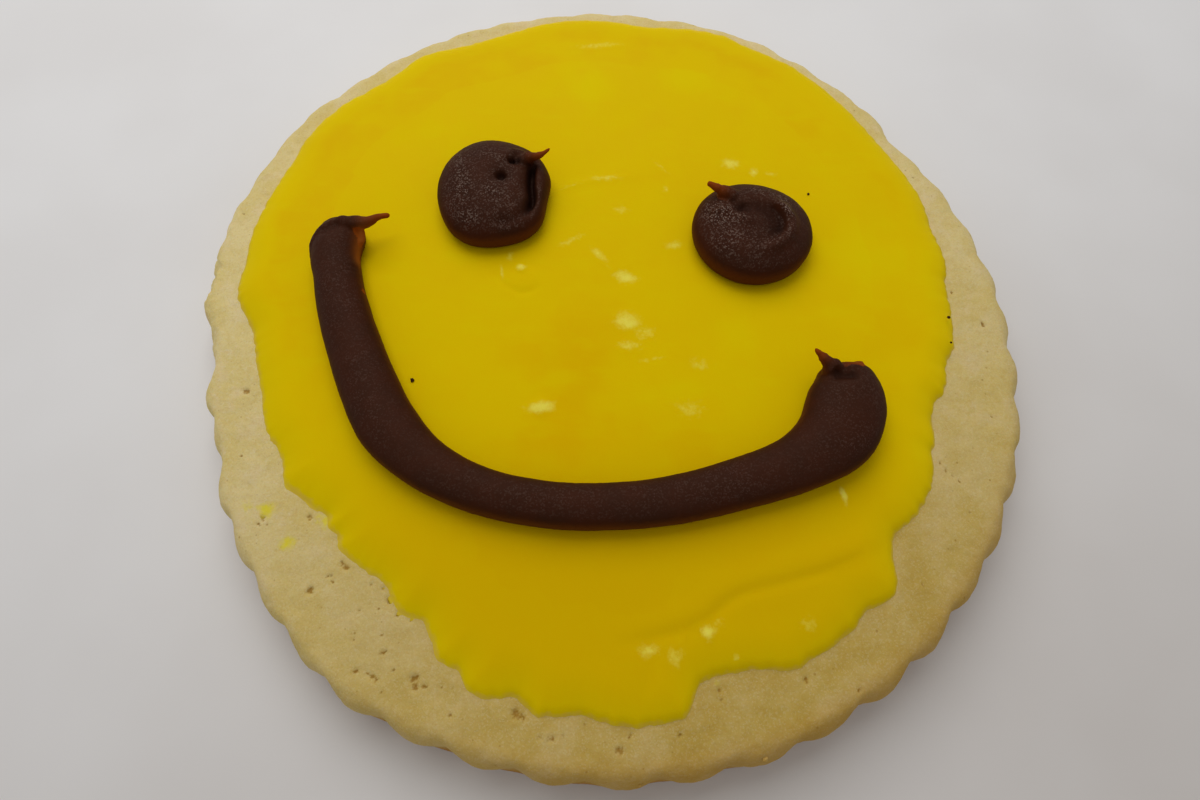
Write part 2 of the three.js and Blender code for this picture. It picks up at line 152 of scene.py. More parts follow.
ICING = {
    "thickness": 1.3,
    "mean_radius": 40,
    "top_radius": 38.5,  # the rings of the top, inside the edge, are spaced from this
    "sunk": 0.35,  # the skin reaches this far into the biscuit, so that no gap shows
    "pitch": 0.29,
    # Rings near the edge, by how far in they lie
    "edge_steps": [-0.45, -0.25, -0.1, 0.02, 0.14, 0.28, 0.44, 0.62, 0.85, 1.15, 1.5, 1.9, 2.4, 3.0,
                   3.7, 4.5],
    # The edge is a low blunt rim, thinnest at the front left, and the skin swells behind it:
    # (bearing, height of the rim), and (bearing, how far in the skin has its full thickness)
    "rim_height": [(0, 0.34), (60, 0.5), (120, 0.45), (175, 0.23), (210, 0.1), (240, 0.12),
                   (270, 0.34), (300, 0.36), (330, 0.28)],
    "rim_reach": 0.9,
    "swell": [(0, 3.2), (60, 2.2), (120, 2.4), (180, 3.6), (215, 4.4), (250, 4.4), (285, 3.6),
              (320, 3.4)],
    "edge": [
        (0, 37.1), (8.5, 38.0), (13.5, 37.9), (18.5, 38.7), (30, 39.0), (60, 41.8),
        (63.5, 41.8), (68, 42.6), (74, 42.4), (77, 41.9), (82.5, 41.5), (90, 42.3), (97, 42.6),
        (111.5, 41.6), (114.5, 41.6), (122.5, 42.6), (130.5, 41.6), (134, 41.7),
        (139.5, 42.3), (145.5, 42.2), (153.5, 41.1), (170, 40.2), (174, 39.6), (178, 39.7),
        (182, 38.9), (185, 37.7), (187.5, 37.1), (198.5, 36.5), (204.5, 36.9), (210, 36.4),
        (214.5, 37.1), (220, 36.0), (223, 35.6), (225, 36.1), (226.5, 35.9), (228, 36.5),
        (229, 36.7), (236, 36.4), (242, 37.6), (244.5, 37.3), (249, 39.7), (251.5, 40.0),
        (253, 40.9), (255, 41.4), (259.5, 40.8), (262.5, 41.9), (266.5, 41.6), (273.5, 42.5),
        (279, 42.4), (280.5, 41.5), (282, 39.8), (283.5, 39.6), (289, 40.1), (294, 41.3),
        (302.5, 41.0), (305, 40.5), (309.5, 41.1), (311, 40.7), (313.5, 38.7), (316.5, 37.6),
        (320, 38.1), (326, 38.0), (328.5, 37.5), (331, 36.6), (332.5, 36.6), (336, 35.7),
        (339, 35.6), (342, 36.4), (347, 36.3), (350.5, 37.1),
    ],
    # The thin film that runs out beyond the edge: (bearing, reach)
    "spread": [(0, 0.55), (30, 0.85), (60, 0.75), (90, 0.8), (120, 0.8), (150, 0.8), (180, 0.45),
               (210, 0.38), (240, 0.38), (270, 0.22), (300, 0.22), (330, 0.38)],
    "fray": 0.2,  # fine unevenness of the edge
    "fray_span": 1.0,
    "ripple_span": 7.0,  # of the slow unevenness of the poured top
    "depth_search": 9,  # how far in from the edge its true distance is measured
    "depth_most": 5.0,  # the most that is kept of it
    "hidden_rings": [(48, 0.3), (120, 0.7)],  # under the skin: (points, share of the reach)
    # How clear the thin edge is, and how far in the dough shows through it, by bearing
    "film": [(0, 0.5), (90, 0.3), (160, 0.6), (230, 1.0), (290, 0.8), (330, 0.7)],
    "film_reach": 2.0,
    "verge": [(0, 0.55), (30, 0.7), (60, 0.95), (120, 1.0), (160, 0.7), (200, 0.9), (235, 1.0),
              (260, 0.65), (330, 0.55)],
    "front": (-13, -34),  # y where the front's painted shade begins, and where it is full
    "bead": (4.2, 1.3, 0.5),  # the thicker bead round the back: how far in, half-width, strength
}

# Soft ridges and grooves, each a line of (x, y), a height (below 0 for a groove), and a width
ICING_CREASES = [
    # where the last of the icing ran down over a thinner sheet
    ([(1.5, -36.1), (8.4, -34.5), (11.6, -32.2), (16.2, -30.9), (21.3, -29.5), (27.0, -27.0)],
     -0.16, 0.55),
    ([(1.5, -34.9), (7.6, -33.2), (11.0, -31.0), (15.8, -29.6), (20.8, -28.2), (26.0, -26.0)],
     0.12, 1.1),
    ([(-11.6, 2.2), (-10.6, 0.4), (-8.6, -0.7), (-6.7, 0.0)], -0.08, 0.35),
    ([(28.0, 20.0), (31.5, 13.0), (33.5, 4.0)], -0.05, 1.6),
    ([(26.0, 24.0), (33.0, 16.0), (35.6, 6.0)], 0.05, 1.3),
    ([(3.0, -40.2), (4.2, -38.0), (3.6, -35.6)], -0.1, 0.8),
    ([(-6.5, 12.6), (-3.5, 13.9), (0.6, 14.8), (4.0, 15.1)], 0.06, 0.5),
]

# Low blisters and dimples in the yellow icing: (x, y, radius, height)
BLISTERS = [
    (-8.7, 1.2, 1.5, 0.14), (-8.9, 2.4, 0.55, 0.22), (-6.2, -14.0, 0.9, 0.12),
    (2.4, 1.2, 1.1, -0.06), (2.6, -4.4, 1.6, 0.07), (2.7, -7.1, 1.2, 0.05),
    (22.5, -22.8, 0.5, 0.14), (9.0, -35.1, 0.5, 0.16),
]

# Pale flecks of sugar near the surface: (x, y, half-length, half-width, bearing, strength)
FLECKS = [
    (-6.2, -14.0, 1.4, 0.62, 8, 1.0), (2.4, 1.2, 1.35, 0.8, -20, 0.8),
    (-0.4, 4.1, 1.4, 0.5, -55, 0.62), (-3.4, 6.1, 1.9, 0.45, 30, 0.5),
    (2.5, -4.3, 1.35, 1.1, 0, 0.82), (4.3, -5.7, 1.3, 1.0, 10, 0.45),
    (2.7, -7.1, 1.4, 0.6, 0, 0.6), (5.0, -8.7, 1.6, 0.35, 10, 0.4),
    (0.3, 14.8, 1.9, 0.4, 3, 0.6), (-3.9, 13.6, 2.6, 0.22, 22, 0.42),
    (6.8, 16.5, 1.5, 0.25, -50, 0.45), (7.2, 13.2, 0.5, 0.45, 0, 0.5),
    (2.0, 10.2, 0.9, 0.6, 0, 0.48), (7.8, 5.4, 0.9, 0.6, 10, 0.58),
    (15.0, 17.2, 1.1, 0.8, 0, 0.72), (17.6, 15.9, 0.55, 0.6, 0, 0.7),
    (19.5, 15.7, 0.9, 0.35, 0, 0.5), (-8.9, 2.4, 0.55, 0.4, 0, 0.95),
    (-10.9, 1.8, 0.2, 1.1, 12, 0.55), (-10.2, 4.0, 0.45, 0.9, 0, 0.45),
    (8.5, -14.1, 1.6, 1.1, 0, 0.42), (9.8, -9.3, 1.4, 0.9, 0, 0.38),
    (22.5, -22.8, 0.3, 0.85, 15, 1.0), (9.0, -35.1, 0.6, 0.55, 0, 1.0),
    (9.9, -34.5, 0.9, 0.45, 30, 0.5), (3.8, -36.6, 1.1, 0.7, 0, 0.6),
    (6.1, -37.1, 0.9, 0.8, 0, 0.55), (11.4, -37.1, 0.35, 0.35, 0, 0.6),
    (18.0, -34.4, 0.9, 0.8, 0, 0.4), (-0.3, 37.1, 3.2, 0.5, 5, 0.5),
]

# Soft patches where the icing is thicker (below 0) or thinner and lighter, laid out as flecks are.
# The darker ones at the front, below the smile and along the step, are partly painted shade.
TONES_AND_SHADE = [
    (-3, -11, 6, 8, 0, -0.6), (-2, -18, 14, 2.5, 0, -0.5), (0, -28, 24, 4.5, 0, -0.8),
    (-4, -33, 9, 3, 0, -0.8), (14, -30.6, 9, 1.6, 22, -0.7), (3.5, -37, 1.6, 4.5, 0, -0.8),
    (0, -41, 10, 1.2, 0, -0.4), (-20, -27, 5, 3, -20, -0.4), (33.0, 6, 3.2, 9, 10, 0.6),
    (26, -26, 6, 3, 40, -0.4), (5, 15, 4, 2, 0, -0.3), (13, -26.5, 5, 2.2, 20, -0.6),
    (-2, 30, 3, 5, 0, 0.6), (10, 31, 5, 2.5, 0, 0.5), (-20, 20, 4, 4, 0, 0.3),
    (13, -4, 5, 4, 0, 0.4), (7, -13, 4, 2.5, 0, 0.45), (29, 4, 3, 4, 0, 0.5),
    (30, -22, 3, 4, 0, 0.5), (15, -36, 6, 2, 25, 0.7), (-12, -37.5, 7, 4, -30, 0.6),
    (-28, -24, 4, 6, 30, 0.4), (-36, -10, 2.5, 8, 0, 0.3), (-3, 7.5, 4, 2, 0, 0.4),
]

# Dark crumbs caught on the yellow icing: (x, y, radius)
SPECKS = [(-19.2, -11.0, 0.24), (23.5, 12.7, 0.16), (36.5, -3.4, 0.2), (36.1, -6.4, 0.16)]

# A piped dot: middle, mean radius, height, departures from a circle, and its relief as creases
# and as hollows (x, y, radius, depth)
EYES = {
    "left_eye": {
        "centre": (-12.2, 11.45), "radius": 6.7, "height": 4.4,
        "waves": [(2, 0.4, -165), (4, 0.12, 176), (5, 0.1, 155)],
        # local swellings of the outline: (bearing, size, half-width in degrees)
        "swellings": [(12, 0.3, 14), (338, -0.12, 10)],
        "creases": [
            ([(-7.7, 14.3), (-7.85, 12.9), (-7.85, 11.0), (-7.7, 9.2), (-8.2, 7.5)], -1.35, 0.43),
            ([(-8.3, 14.0), (-8.4, 11.5), (-8.4, 9.0)], -0.3, 0.7),
            ([(-7.9, 8.2), (-8.7, 7.1), (-9.8, 6.4), (-11.6, 6.0)], -0.26, 0.5),
            ([(-6.7, 13.7), (-6.4, 12.2), (-6.5, 10.2), (-6.9, 8.3)], 0.15, 0.6),
            ([(-10.4, 15.3), (-9.3, 15.3), (-8.2, 14.8)], 0.35, 0.4),
            ([(-10.5, 13.8), (-9.8, 14.0), (-9.1, 13.6)], -1.0, 0.5),
        ],
        "hollows": [(-11.1, 11.75, 0.55, 0.75), (-11.0, 11.9, 1.5, 0.35)],
        # where the painted glints of the sugar show most: (x, y, half-length, half-width, bearing,
        # strength)
        "sugar": [(-11.6, 9.2, 2.0, 1.2, 20, 0.75), (-15.2, 11.0, 1.1, 4.0, 10, 0.55),
                  (-11.9, 14.6, 2.0, 0.9, -25, 0.55), (-13.3, 6.6, 3.0, 1.0, -15, 0.4)],
        "peak": {
            "points": [(-9.4, 14.0, 12.3), (-8.3, 14.35, 13.15), (-7.2, 14.15, 13.75),
                       (-6.5, 14.25, 14.05), (-5.7, 14.75, 14.35)],
            "radii": [0.9, 0.7, 0.42, 0.3, 0.12], "ragged": 0.22,
        },
    },
    "right_eye": {
        "centre": (16.1, 6.0), "radius": 6.38, "height": 4.4,
        "waves": [(2, 0.16, -18), (3, 0.06, 54)],
        "swellings": [],
        "creases": [
            ([(17.6, 8.6), (19.2, 7.4), (20.0, 5.8), (19.6, 4.2), (18.2, 2.8), (16.4, 2.1)],
             0.5, 0.6),
            ([(15.4, 7.9), (17.0, 7.4), (18.1, 6.2), (18.2, 4.8), (17.4, 3.7)], -0.35, 0.75),
            ([(17.6, 8.0), (18.5, 7.0), (18.9, 5.6), (18.4, 4.3)], -0.4, 0.35),
            ([(11.4, 6.7), (12.5, 7.0), (13.4, 6.6)], 0.26, 0.5),
            ([(14.1, 5.7), (14.9, 5.7), (15.5, 5.3)], 0.22, 0.45),
            ([(13.4, 8.7), (14.2, 7.9), (15.1, 7.3)], -0.35, 0.55),
        ],
        "hollows": [(16.6, 5.6, 2.9, 0.35), (14.3, 7.2, 0.55, 0.3), (15.2, 7.4, 0.6, 0.3)],
        "sugar": [(19.3, 6.6, 0.6, 2.4, 0, 0.95), (18.2, 3.6, 1.6, 0.6, 38, 0.85),
                  (17.0, 9.8, 1.4, 0.6, -15, 0.5), (12.2, 6.9, 1.6, 1.5, 0, 0.75),
                  (14.6, 6.0, 1.1, 0.7, 0, 0.7), (14.0, 3.2, 3.0, 1.1, 0, 0.45)],
        "peak": {
            "points": [(14.4, 9.1, 12.3), (13.3, 9.4, 13.2), (12.2, 9.65, 13.8),
                       (11.05, 10.05, 14.2)],
            "radii": [1.15, 0.78, 0.42, 0.25], "ragged": 0.32,
        },
    },
}

DOT = {
    "columns": 200, "foot_rings": 7, "rings": 46, "foot_share": 0.8, "belt_height": 1.5,
    "crown_power": 2.1, "sunk": 0.3,
    "relief_shares": (1.0, 0.88),  # shares of the radius where the relief starts and is full
    "flank_shares": (0.96, 0.84),  # the radius's shares between which the flank's painted light fades
    "sugared": (0.15, 0.65, 0.75),  # painted glints of sugar on the crust everywhere, at their patches, and at most
    "dark": (-0.08, 0.9),  # how much painted shade a groove gets: at no depth, and more for each millimetre
}

SMILE = {
    # Middle line and width: (x, y, width), from the long arm's end round to the short arm's
    "line": [
        (-27.15, 7.6, 4.4), (-28.5, 5.0, 5.2), (-28.6, 2.9, 5.1), (-28.05, 0.7, 4.9),
        (-27.0, -2.9, 5.1), (-23.7, -10.8, 5.6), (-20.4, -16.7, 5.8), (-17.0, -20.0, 5.0),
        (-12.1, -22.6, 4.4), (-6.4, -24.0, 4.3), (0, -24.35, 4.3), (6.9, -23.6, 4.5),
        (13.4, -21.9, 4.9), (18.5, -20.0, 5.7), (22.15, -17.2, 7.45), (23.6, -13.4, 7.25),
        (23.85, -10.0, 4.4),
    ],
    "height_base": 2.2, "height_share": 0.28, "belt_share": 0.42, "foot_power": 2.8,
    "round_start": 2.2, "round_end": 1.0, "end_height": 0.35,
    "steps": 420, "sides": 72, "sunk": 0.3,
    "crease_top": 4.3,  # creases stop this far over the icing, so that the peaks stay whole
    # The smile's sugar glints are painted, and its creases get painted shade: at no depth, and more
    # for each millimetre.
    "sugared": 0.07, "dark": (-0.2, 1.2),
    "tails": [
        # the lip round the long arm's end, which runs out into its tail
        {"points": [(-30.9, 2.2, 11.2), (-30.75, 4.2, 11.6), (-29.6, 5.6, 12.1),
                    (-28.0, 6.2, 12.3), (-26.4, 6.15, 12.4), (-25.1, 6.3, 12.4),
                    (-24.1, 6.95, 12.4), (-22.75, 7.25, 12.35)],
         "radii": [0.2, 0.45, 0.6, 0.72, 0.78, 0.55, 0.34, 0.29], "ragged": 0.12,
         "thin_from": 0.72},
        # the web between that tail and the arm
        {"points": [(-26.2, 5.9, 12.0), (-25.9, 5.2, 11.4), (-25.95, 4.4, 11.1)],
         "radii": [0.5, 0.42, 0.25], "ragged": 0.05, "thin_from": 2.0},
        # a small swelling on the long arm's inner side
        {"points": [(-26.3, -0.9, 11.0), (-25.75, -1.5, 11.0), (-25.3, -3.2, 10.8)],
         "radii": [0.35, 0.6, 0.35], "ragged": 0.05, "thin_from": 2.0},
        {"points": [(23.0, -12.0, 11.6), (22.1, -11.2, 12.5), (21.2, -10.5, 13.2),
                    (20.1, -9.7, 13.9)],
         "radii": [1.1, 0.92, 0.5, 0.1], "ragged": 0.25, "thin_from": 0.55},
        # the torn lip along the short arm's end
        {"points": [(21.9, -11.0, 12.6), (23.3, -11.1, 12.35), (24.7, -11.0, 12.05),
                    (25.5, -11.8, 11.5)],
         "radii": [0.35, 0.42, 0.5, 0.3], "ragged": 0.35, "thin_from": 0.0},
        {"points": [(23.9, -11.1, 11.8), (24.7, -10.7, 12.0), (25.3, -10.4, 12.0)],
         "radii": [0.5, 0.5, 0.3], "ragged": 0.2, "thin_from": 0.0},
    ],
    "creases": [
        ([(-30.0, 4.6), (-29.0, 5.4), (-27.6, 5.7)], -0.3, 0.6),
        ([(-26.9, -0.2), (-26.2, 0.3), (-25.6, 0.4)], -0.1, 0.22),
        ([(-26.9, 0.5), (-26.2, 0.9), (-25.6, 1.0)], -0.1, 0.22),
        ([(21.6, -11.9), (23.0, -12.1), (24.5, -12.0)], -0.6, 0.62),
    ],
    # the thin flank that glows amber beside the long arm's tail: a line, its reach and strength
    "amber": ([(-25.8, 6.4, 12.0), (-25.7, 5.2, 11.6), (-25.8, 3.8, 11.2),
               (-25.9, 2.3, 10.9)], 0.8, 0.85),
}

HORN_STEPS, HORN_SIDES = 60, 32
CURVE_STEPS = 60  # points between two given points, before a curve is made even
CREASE_STEPS, WEB_STEPS = 24, 12
# The darkest that the painted shade in a groove gets.
DARKEST = 0.8

FLOOR_HALF = 1500
LAMP_PLACE = (-45, 150, 260)
SKY_COLOUR = 0xFAFAFC
CAMERA_PLACE = (-0.341, -41.36, 72.9)
CAMERA_TILT = 23.95  # degrees from straight down
SENSOR_WIDTH = 36.0

# ---------------------------------------------------------------- plan and heights


def wavy(waves, bearing):
    """Departure from a circle on a bearing, from a list of waves."""
    return sum(size * np.cos(lobes * bearing - math.radians(crest))
               for lobes, size, crest in waves)


def around(bearing, middle, half_width):
    """A share that is 1 at a middle bearing and falls off softly over a half-width, both in
    degrees."""
    return np.exp(-(((np.degrees(bearing) % 360) - middle) / half_width) ** 2)


def swollen(swellings, bearing):
    """Local swellings and dents of an outline: (bearing, size, half-width in degrees)."""
    away = [(np.degrees(bearing) - at + 180) % 360 - 180 for at, _, _ in swellings]
    return sum(size * np.exp(-(off / half_width) ** 2)
               for off, (_, size, half_width) in zip(away, swellings))


def biscuit_radius(bearing):
    return (BISCUIT["radius"] + wavy(BISCUIT["waves"], bearing)
            + swollen(BISCUIT["dents"], bearing))


def rim_inset(bearing):
    return BISCUIT["rim_inset"] + wavy(BISCUIT["rim_lean"], bearing)


def foot_inset(bearing):
    return BISCUIT["foot_inset"] + wavy(BISCUIT["foot_lean"], bearing)


def belt_height(bearing):
    """Height at which the side is widest."""
    return BISCUIT["belt_height"] + wavy(BISCUIT["belt_lean"], bearing)


def flute_bearing(flutes):
    """Bearing of a place counted in flutes round the rim, with the slip at the back."""
    even = TURN * flutes / FLUTES["count"]
    away = (even - math.radians(FLUTES["slip_bearing"])) / math.radians(FLUTES["slip_reach"])
    slip = math.radians(FLUTES["slip"]) * np.exp(-(away ** 4))
    return even + (slip - math.pi) / FLUTES["count"]


def biscuit_top(x, y):
    bearing = np.arctan2(y, x)
    reach = biscuit_radius(bearing) - rim_inset(bearing)
    share = np.minimum(np.hypot(x, y) / reach, 1)
    u, v = x / BISCUIT["lump_span"], y / BISCUIT["lump_span"]
    lumps = np.sin(u + 1) * np.sin(v + 2) + np.sin(u + v)
    return (BISCUIT["edge_height"] + BISCUIT["crown"] * (1 - share ** 2)
            + BISCUIT["lump"] * lumps * share * (1 - share ** 8))


def icing_top(x, y):
    return biscuit_top(x, y) + ICING["thickness"]


def round_table(table, bearing):
    """A value on a bearing, along a curve through a table that never overshoots its points."""
    degrees, values = np.array(table, dtype=float).T
    degrees = np.concatenate([degrees - 360, degrees, degrees + 360])
    values = np.tile(values, 3)
    slope = np.diff(values) / np.diff(degrees)
    same = slope[:-1] * slope[1:] > 0
    both = np.where(same, slope[:-1] + slope[1:], 1)
    tangent = np.concatenate([[0], np.where(same, 2 * slope[:-1] * slope[1:] / both, 0), [0]])
    at = np.degrees(bearing) % 360
    i = np.searchsorted(degrees, at, side="right") - 1
    span = degrees[i + 1] - degrees[i]
    t = (at - degrees[i]) / span
    return (values[i] * (1 + 2 * t) * (1 - t) ** 2 + values[i + 1] * t * t * (3 - 2 * t)
            + span * (tangent[i] * t * (1 - t) ** 2 - tangent[i + 1] * t * t * (1 - t)))


def icing_radius(bearing):
    return round_table(ICING["edge"], bearing)


# ---------------------------------------------------------------- lines and relief


def smooth_line(points, count, spatial):
    """A centripetal curve through points, sampled evenly along its length in the first
    `spatial` coordinates. Any further coordinates go along with them."""
    given = np.array(points, dtype=float)
    wide = np.vstack([2 * given[0] - given[1], given, 2 * given[-1] - given[-2]])
    t = np.linspace(0, 1, CURVE_STEPS, endpoint=False)[:, None]
    parts = []
    for a, b, c, d in zip(wide, wide[1:], wide[2:], wide[3:]):
        k0, k1, k2 = (math.sqrt(max(np.linalg.norm((q - p)[:spatial]), 1e-6))
                      for p, q in ((a, b), (b, c), (c, d)))
        start = k1 * ((b - a) / k0 - (c - a) / (k0 + k1) + (c - b) / k1)
        end = k1 * ((c - b) / k1 - (d - b) / (k1 + k2) + (d - c) / k2)
        parts.append(b + start * t + (3 * (c - b) - 2 * start - end) * t ** 2
                     + (2 * (b - c) + start + end) * t ** 3)
    fine = np.vstack(parts + [given[-1:]])
    steps = np.linalg.norm(np.diff(fine[:, :spatial], axis=0), axis=1)
    run = np.concatenate([[0], np.cumsum(steps)])
    at = np.linspace(0, run[-1], count)
    return np.column_stack([np.interp(at, run, column) for column in fine.T])


def nearest_on_line(places, line):
    """Distance from each place to a line of points, and how far along it, from 0 to 1."""
    best = np.full(len(places), np.inf)
    share = np.zeros(len(places))
    for k, (a, b) in enumerate(zip(line, line[1:])):
        step = b - a
        t = np.clip(((places - a) @ step) / max(step @ step, 1e-12), 0, 1)
        away = np.linalg.norm(places - a - t[:, None] * step, axis=1)
        closer = away < best
        best[closer] = away[closer]
        share[closer] = (k + t[closer]) / (len(line) - 1)
    return best, share


def crease_relief(x, y, creases):
    """Height that a list of ridges and grooves adds at each place."""
    places = np.column_stack([x, y])
    total = np.zeros(len(places))
    for points, height, width in creases:
        line = smooth_line(points, CREASE_STEPS, 2)
        low, high = line.min(0) - 3 * width, line.max(0) + 3 * width
        near = np.all((places > low) & (places < high), axis=1)
        away, share = nearest_on_line(places[near], line)
        fade = np.clip(np.minimum(share, 1 - share) / 0.18, 0, 1)
        total[near] += height * np.exp(-(away / width) ** 2) * (0.25 + 0.75 * fade)
    return total


def spot_relief(x, y, spots, power):
    """Height that round spots (x, y, radius, height) add at each place."""
    return sum(height * np.exp(-(np.hypot(x - cx, y - cy) / radius) ** power)
               for cx, cy, radius, height in spots)


def soft_patches(x, y, patches):
    """The strength at each place of soft oval patches, one row for each patch:
    (x, y, half-length, half-width, bearing, strength)."""
    rows = []
    for cx, cy, long_half, wide_half, turn, strength in patches:
        cosine, sine = math.cos(math.radians(turn)), math.sin(math.radians(turn))
        u = ((x - cx) * cosine + (y - cy) * sine) / long_half
        v = ((y - cy) * cosine - (x - cx) * sine) / wide_half
        rows.append(strength * np.exp(-(u * u + v * v)))
    return np.array(rows)


def value_noise(places, span, seed, octaves=3):
    """Soft fractal noise at each place, about -1 to 1, with features of the given span."""
    shift = Vector((17.3 * seed, -9.1 * seed, 5.7 * seed))
    return np.array([noise.fractal(Vector(p) / span + shift, 1.0, 2.0, octaves)
                     for p in places])


def rounded(share, power):
    """How far out and how far up a rounded edge is, a share of the way from side to top."""
    angle = math.pi / 2 * share
    return math.cos(angle) ** (2 / power), math.sin(angle) ** (2 / power)


def headings(line):
    """The way ahead at each point of a line."""
    ahead = np.gradient(line, axis=0)
    return ahead / np.linalg.norm(ahead, axis=1)[:, None]


def smoothstep(low, high, value):
    t = np.clip((value - low) / (high - low), 0, 1)
    return t * t * (3 - 2 * t)


# ---------------------------------------------------------------- meshes


def skin(first_middle, rings, last_middle):
    """A closed body from rings in order, with a middle point that closes each end. Rings run
    anticlockwise seen from outside the last end. Neighbours may have different counts."""
    places = np.vstack([[first_middle], *rings, [last_middle]])
    starts = np.cumsum([1] + [len(ring) for ring in rings])
    first = len(rings[0])
    faces = [(0, 1 + (i + 1) % first, 1 + i) for i in range(first)]
    for r in range(len(rings) - 1):
        lower, upper = len(rings[r]), len(rings[r + 1])
        low, high = starts[r], starts[r + 1]
        if lower == upper:
            i = np.arange(lower)
            n = (i + 1) % lower
            faces += np.column_stack([low + i, low + n, high + n, high + i]).tolist()
            continue
        i = j = 0
        while i < lower or j < upper:
            here, there = low + i % lower, high + j % upper
            if j == upper or (i < lower and (i + 1) / lower <= (j + 1) / upper):
                i += 1
                faces.append((here, low + i % lower, there))
            else:
                j += 1
                faces.append((here, high + j % upper, there))
    count = len(rings[-1])
    faces += [(len(places) - 1, starts[-2] + i, starts[-2] + (i + 1) % count)
              for i in range(count)]
    return places, faces


def mesh_of(name, places, faces, edges=()):
    mesh = bpy.data.meshes.new(name)
    mesh.from_pydata((np.asarray(places) * MM).tolist(), list(edges), faces)
    return mesh


def vectors_of(points, key):
    flat = np.empty(len(points) * 3, dtype=np.float32)
    points.foreach_get(key, flat)
    return flat.reshape(-1, 3).astype(float)


def places_of(mesh):
    """The mesh's points, in millimetres."""
    return vectors_of(mesh.vertices, "co") / MM


def move_to(mesh, places):
    mesh.vertices.foreach_set("co", (places * MM).astype(np.float32).ravel())
    mesh.update()


def store(mesh, name, values):
    """Keeps a value or a vector for each point of a mesh as a named attribute."""
    values = np.asarray(values, dtype=np.float32)
    kind, key = ("FLOAT_VECTOR", "vector") if values.ndim == 2 else ("FLOAT", "value")
    layer = mesh.attributes.new(name, kind, "POINT")
    layer.data.foreach_set(key, values.ravel())


def joined(name, meshes):
    """One mesh from several, which are used up."""
    whole = bmesh.new()
    for mesh in meshes:
        whole.from_mesh(mesh)
        bpy.data.meshes.remove(mesh)
    result = bpy.data.meshes.new(name)
    whole.to_mesh(result)
    whole.free()
    return result


def in_scene(name, data):
    """A new object in the scene for a mesh, a lamp or a camera."""
    made = bpy.data.objects.new(name, data)
    bpy.context.scene.collection.objects.link(made)
    return made


def settled(mesh, stack):
    """Runs modifiers on a mesh and gives back the plain mesh that they make. `stack` lists
    (kind, settings), and for a Geometry Nodes tree (tree, values by input name)."""
    carrier = in_scene("carrier", mesh)
    for kind, values in stack:
        if isinstance(kind, str):
            modifier = carrier.modifiers.new(kind, kind)
            for key, value in values.items():
                setattr(modifier, key, value)
            continue
        modifier = carrier.modifiers.new(kind.name, "NODES")
        modifier.node_group = kind
        for socket in kind.interface.items_tree:
            if socket.item_type == "SOCKET" and socket.name in values:
                modifier[socket.identifier] = values[socket.name]
    depsgraph = bpy.context.evaluated_depsgraph_get()
    result = bpy.data.meshes.new_from_object(
        carrier.evaluated_get(depsgraph), preserve_all_data_layers=True, depsgraph=depsgraph)
    name = mesh.name
    bpy.data.objects.remove(carrier)
    bpy.data.meshes.remove(mesh)
    result.name = name
    return result


def finished(name, mesh, material, node=None, smooth=True):
    """Puts a finished piece in the scene, tied to the body, with its finish, and hides its CAD
    node.
    """
    mesh.materials.clear()
    mesh.materials.append(material)
    if smooth:
        mesh.shade_smooth()
    else:
        mesh.shade_flat()
    piece = in_scene(name, mesh)
    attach(piece, BODY)
    if node:
        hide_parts(node)


# ---------------------------------------------------------------- nodes

# The nodes that are used most
NAMED, KEEP = "GeometryNodeInputNamedAttribute", "GeometryNodeStoreNamedAttribute"
MOVE, RANDOM, POSITION = ("GeometryNodeSetPosition", "FunctionNodeRandomValue",
                          "GeometryNodeInputPosition")
NORMAL, NOISE, CELLS = "GeometryNodeInputNormal", "ShaderNodeTexNoise", "ShaderNodeTexVoronoi"
VECTOR_MATH, SPLIT, STORED = ("ShaderNodeVectorMath", "ShaderNodeSeparateXYZ",
                              "ShaderNodeAttribute")
VECTORS = {"data_type": "FLOAT_VECTOR"}
SOFT = "SOFT"  # a smooth ramp in a formula: (SOFT, value, low, high, then what these become)


def add(tree, kind, inputs=(), out=0, **settings):
    """Adds a node: its settings, then its inputs, in order or by name, each a value or a link.
    Gives the output asked for."""
    made = tree.nodes.new(kind)
    for name, value in settings.items():
        setattr(made, name, value)
    for key, value in inputs.items() if isinstance(inputs, dict) else enumerate(inputs):
        if isinstance(value, bpy.types.NodeSocket):
            tree.links.new(value, made.inputs[key])
        elif value is not None:
            made.inputs[key].default_value = value
    return made.outputs[out] if len(made.outputs) else None


def formula(tree, parts):
    """Builds the nodes of a formula, nested as (operation, part, ...), where a part is again a
    formula, or a value or a link."""
    if not isinstance(parts, tuple):
        return parts
    operation, *rest = parts
    values = [formula(tree, part) for part in rest]
    if operation == SOFT:
        return add(tree, "ShaderNodeMapRange", values, interpolation_type="SMOOTHSTEP")
    return add(tree, "ShaderNodeMath", values, operation=operation)


def geometry_tree(name, inputs):
    """An empty Geometry Nodes tree. Its inputs are named, each with its default or its kind,
    between the geometry and the material that every tree here takes."""
    tree = bpy.data.node_groups.new(name, "GeometryNodeTree")
    for label, value in {"Geometry": "Geometry", **inputs, "Material": "Material"}.items():
        kind = value if isinstance(value, str) else type(value).__name__.capitalize()
        socket = tree.interface.new_socket(label, in_out="INPUT", socket_type="NodeSocket" + kind)
        if kind != value:
            socket.default_value = value
    tree.interface.new_socket("Geometry", in_out="OUTPUT", socket_type="NodeSocketGeometry")
    return tree, tree.nodes.new("NodeGroupInput").outputs


def end_tree(tree, given, geometry):
    """Closes a tree as every one here ends: instances made real, then the material."""
    real = add(tree, "GeometryNodeRealizeInstances", {"Geometry": geometry})
    dressed = add(tree, "GeometryNodeSetMaterial",
                  {"Geometry": real, "Material": given["Material"]})
    add(tree, "NodeGroupOutput", {0: dressed})
    return tree


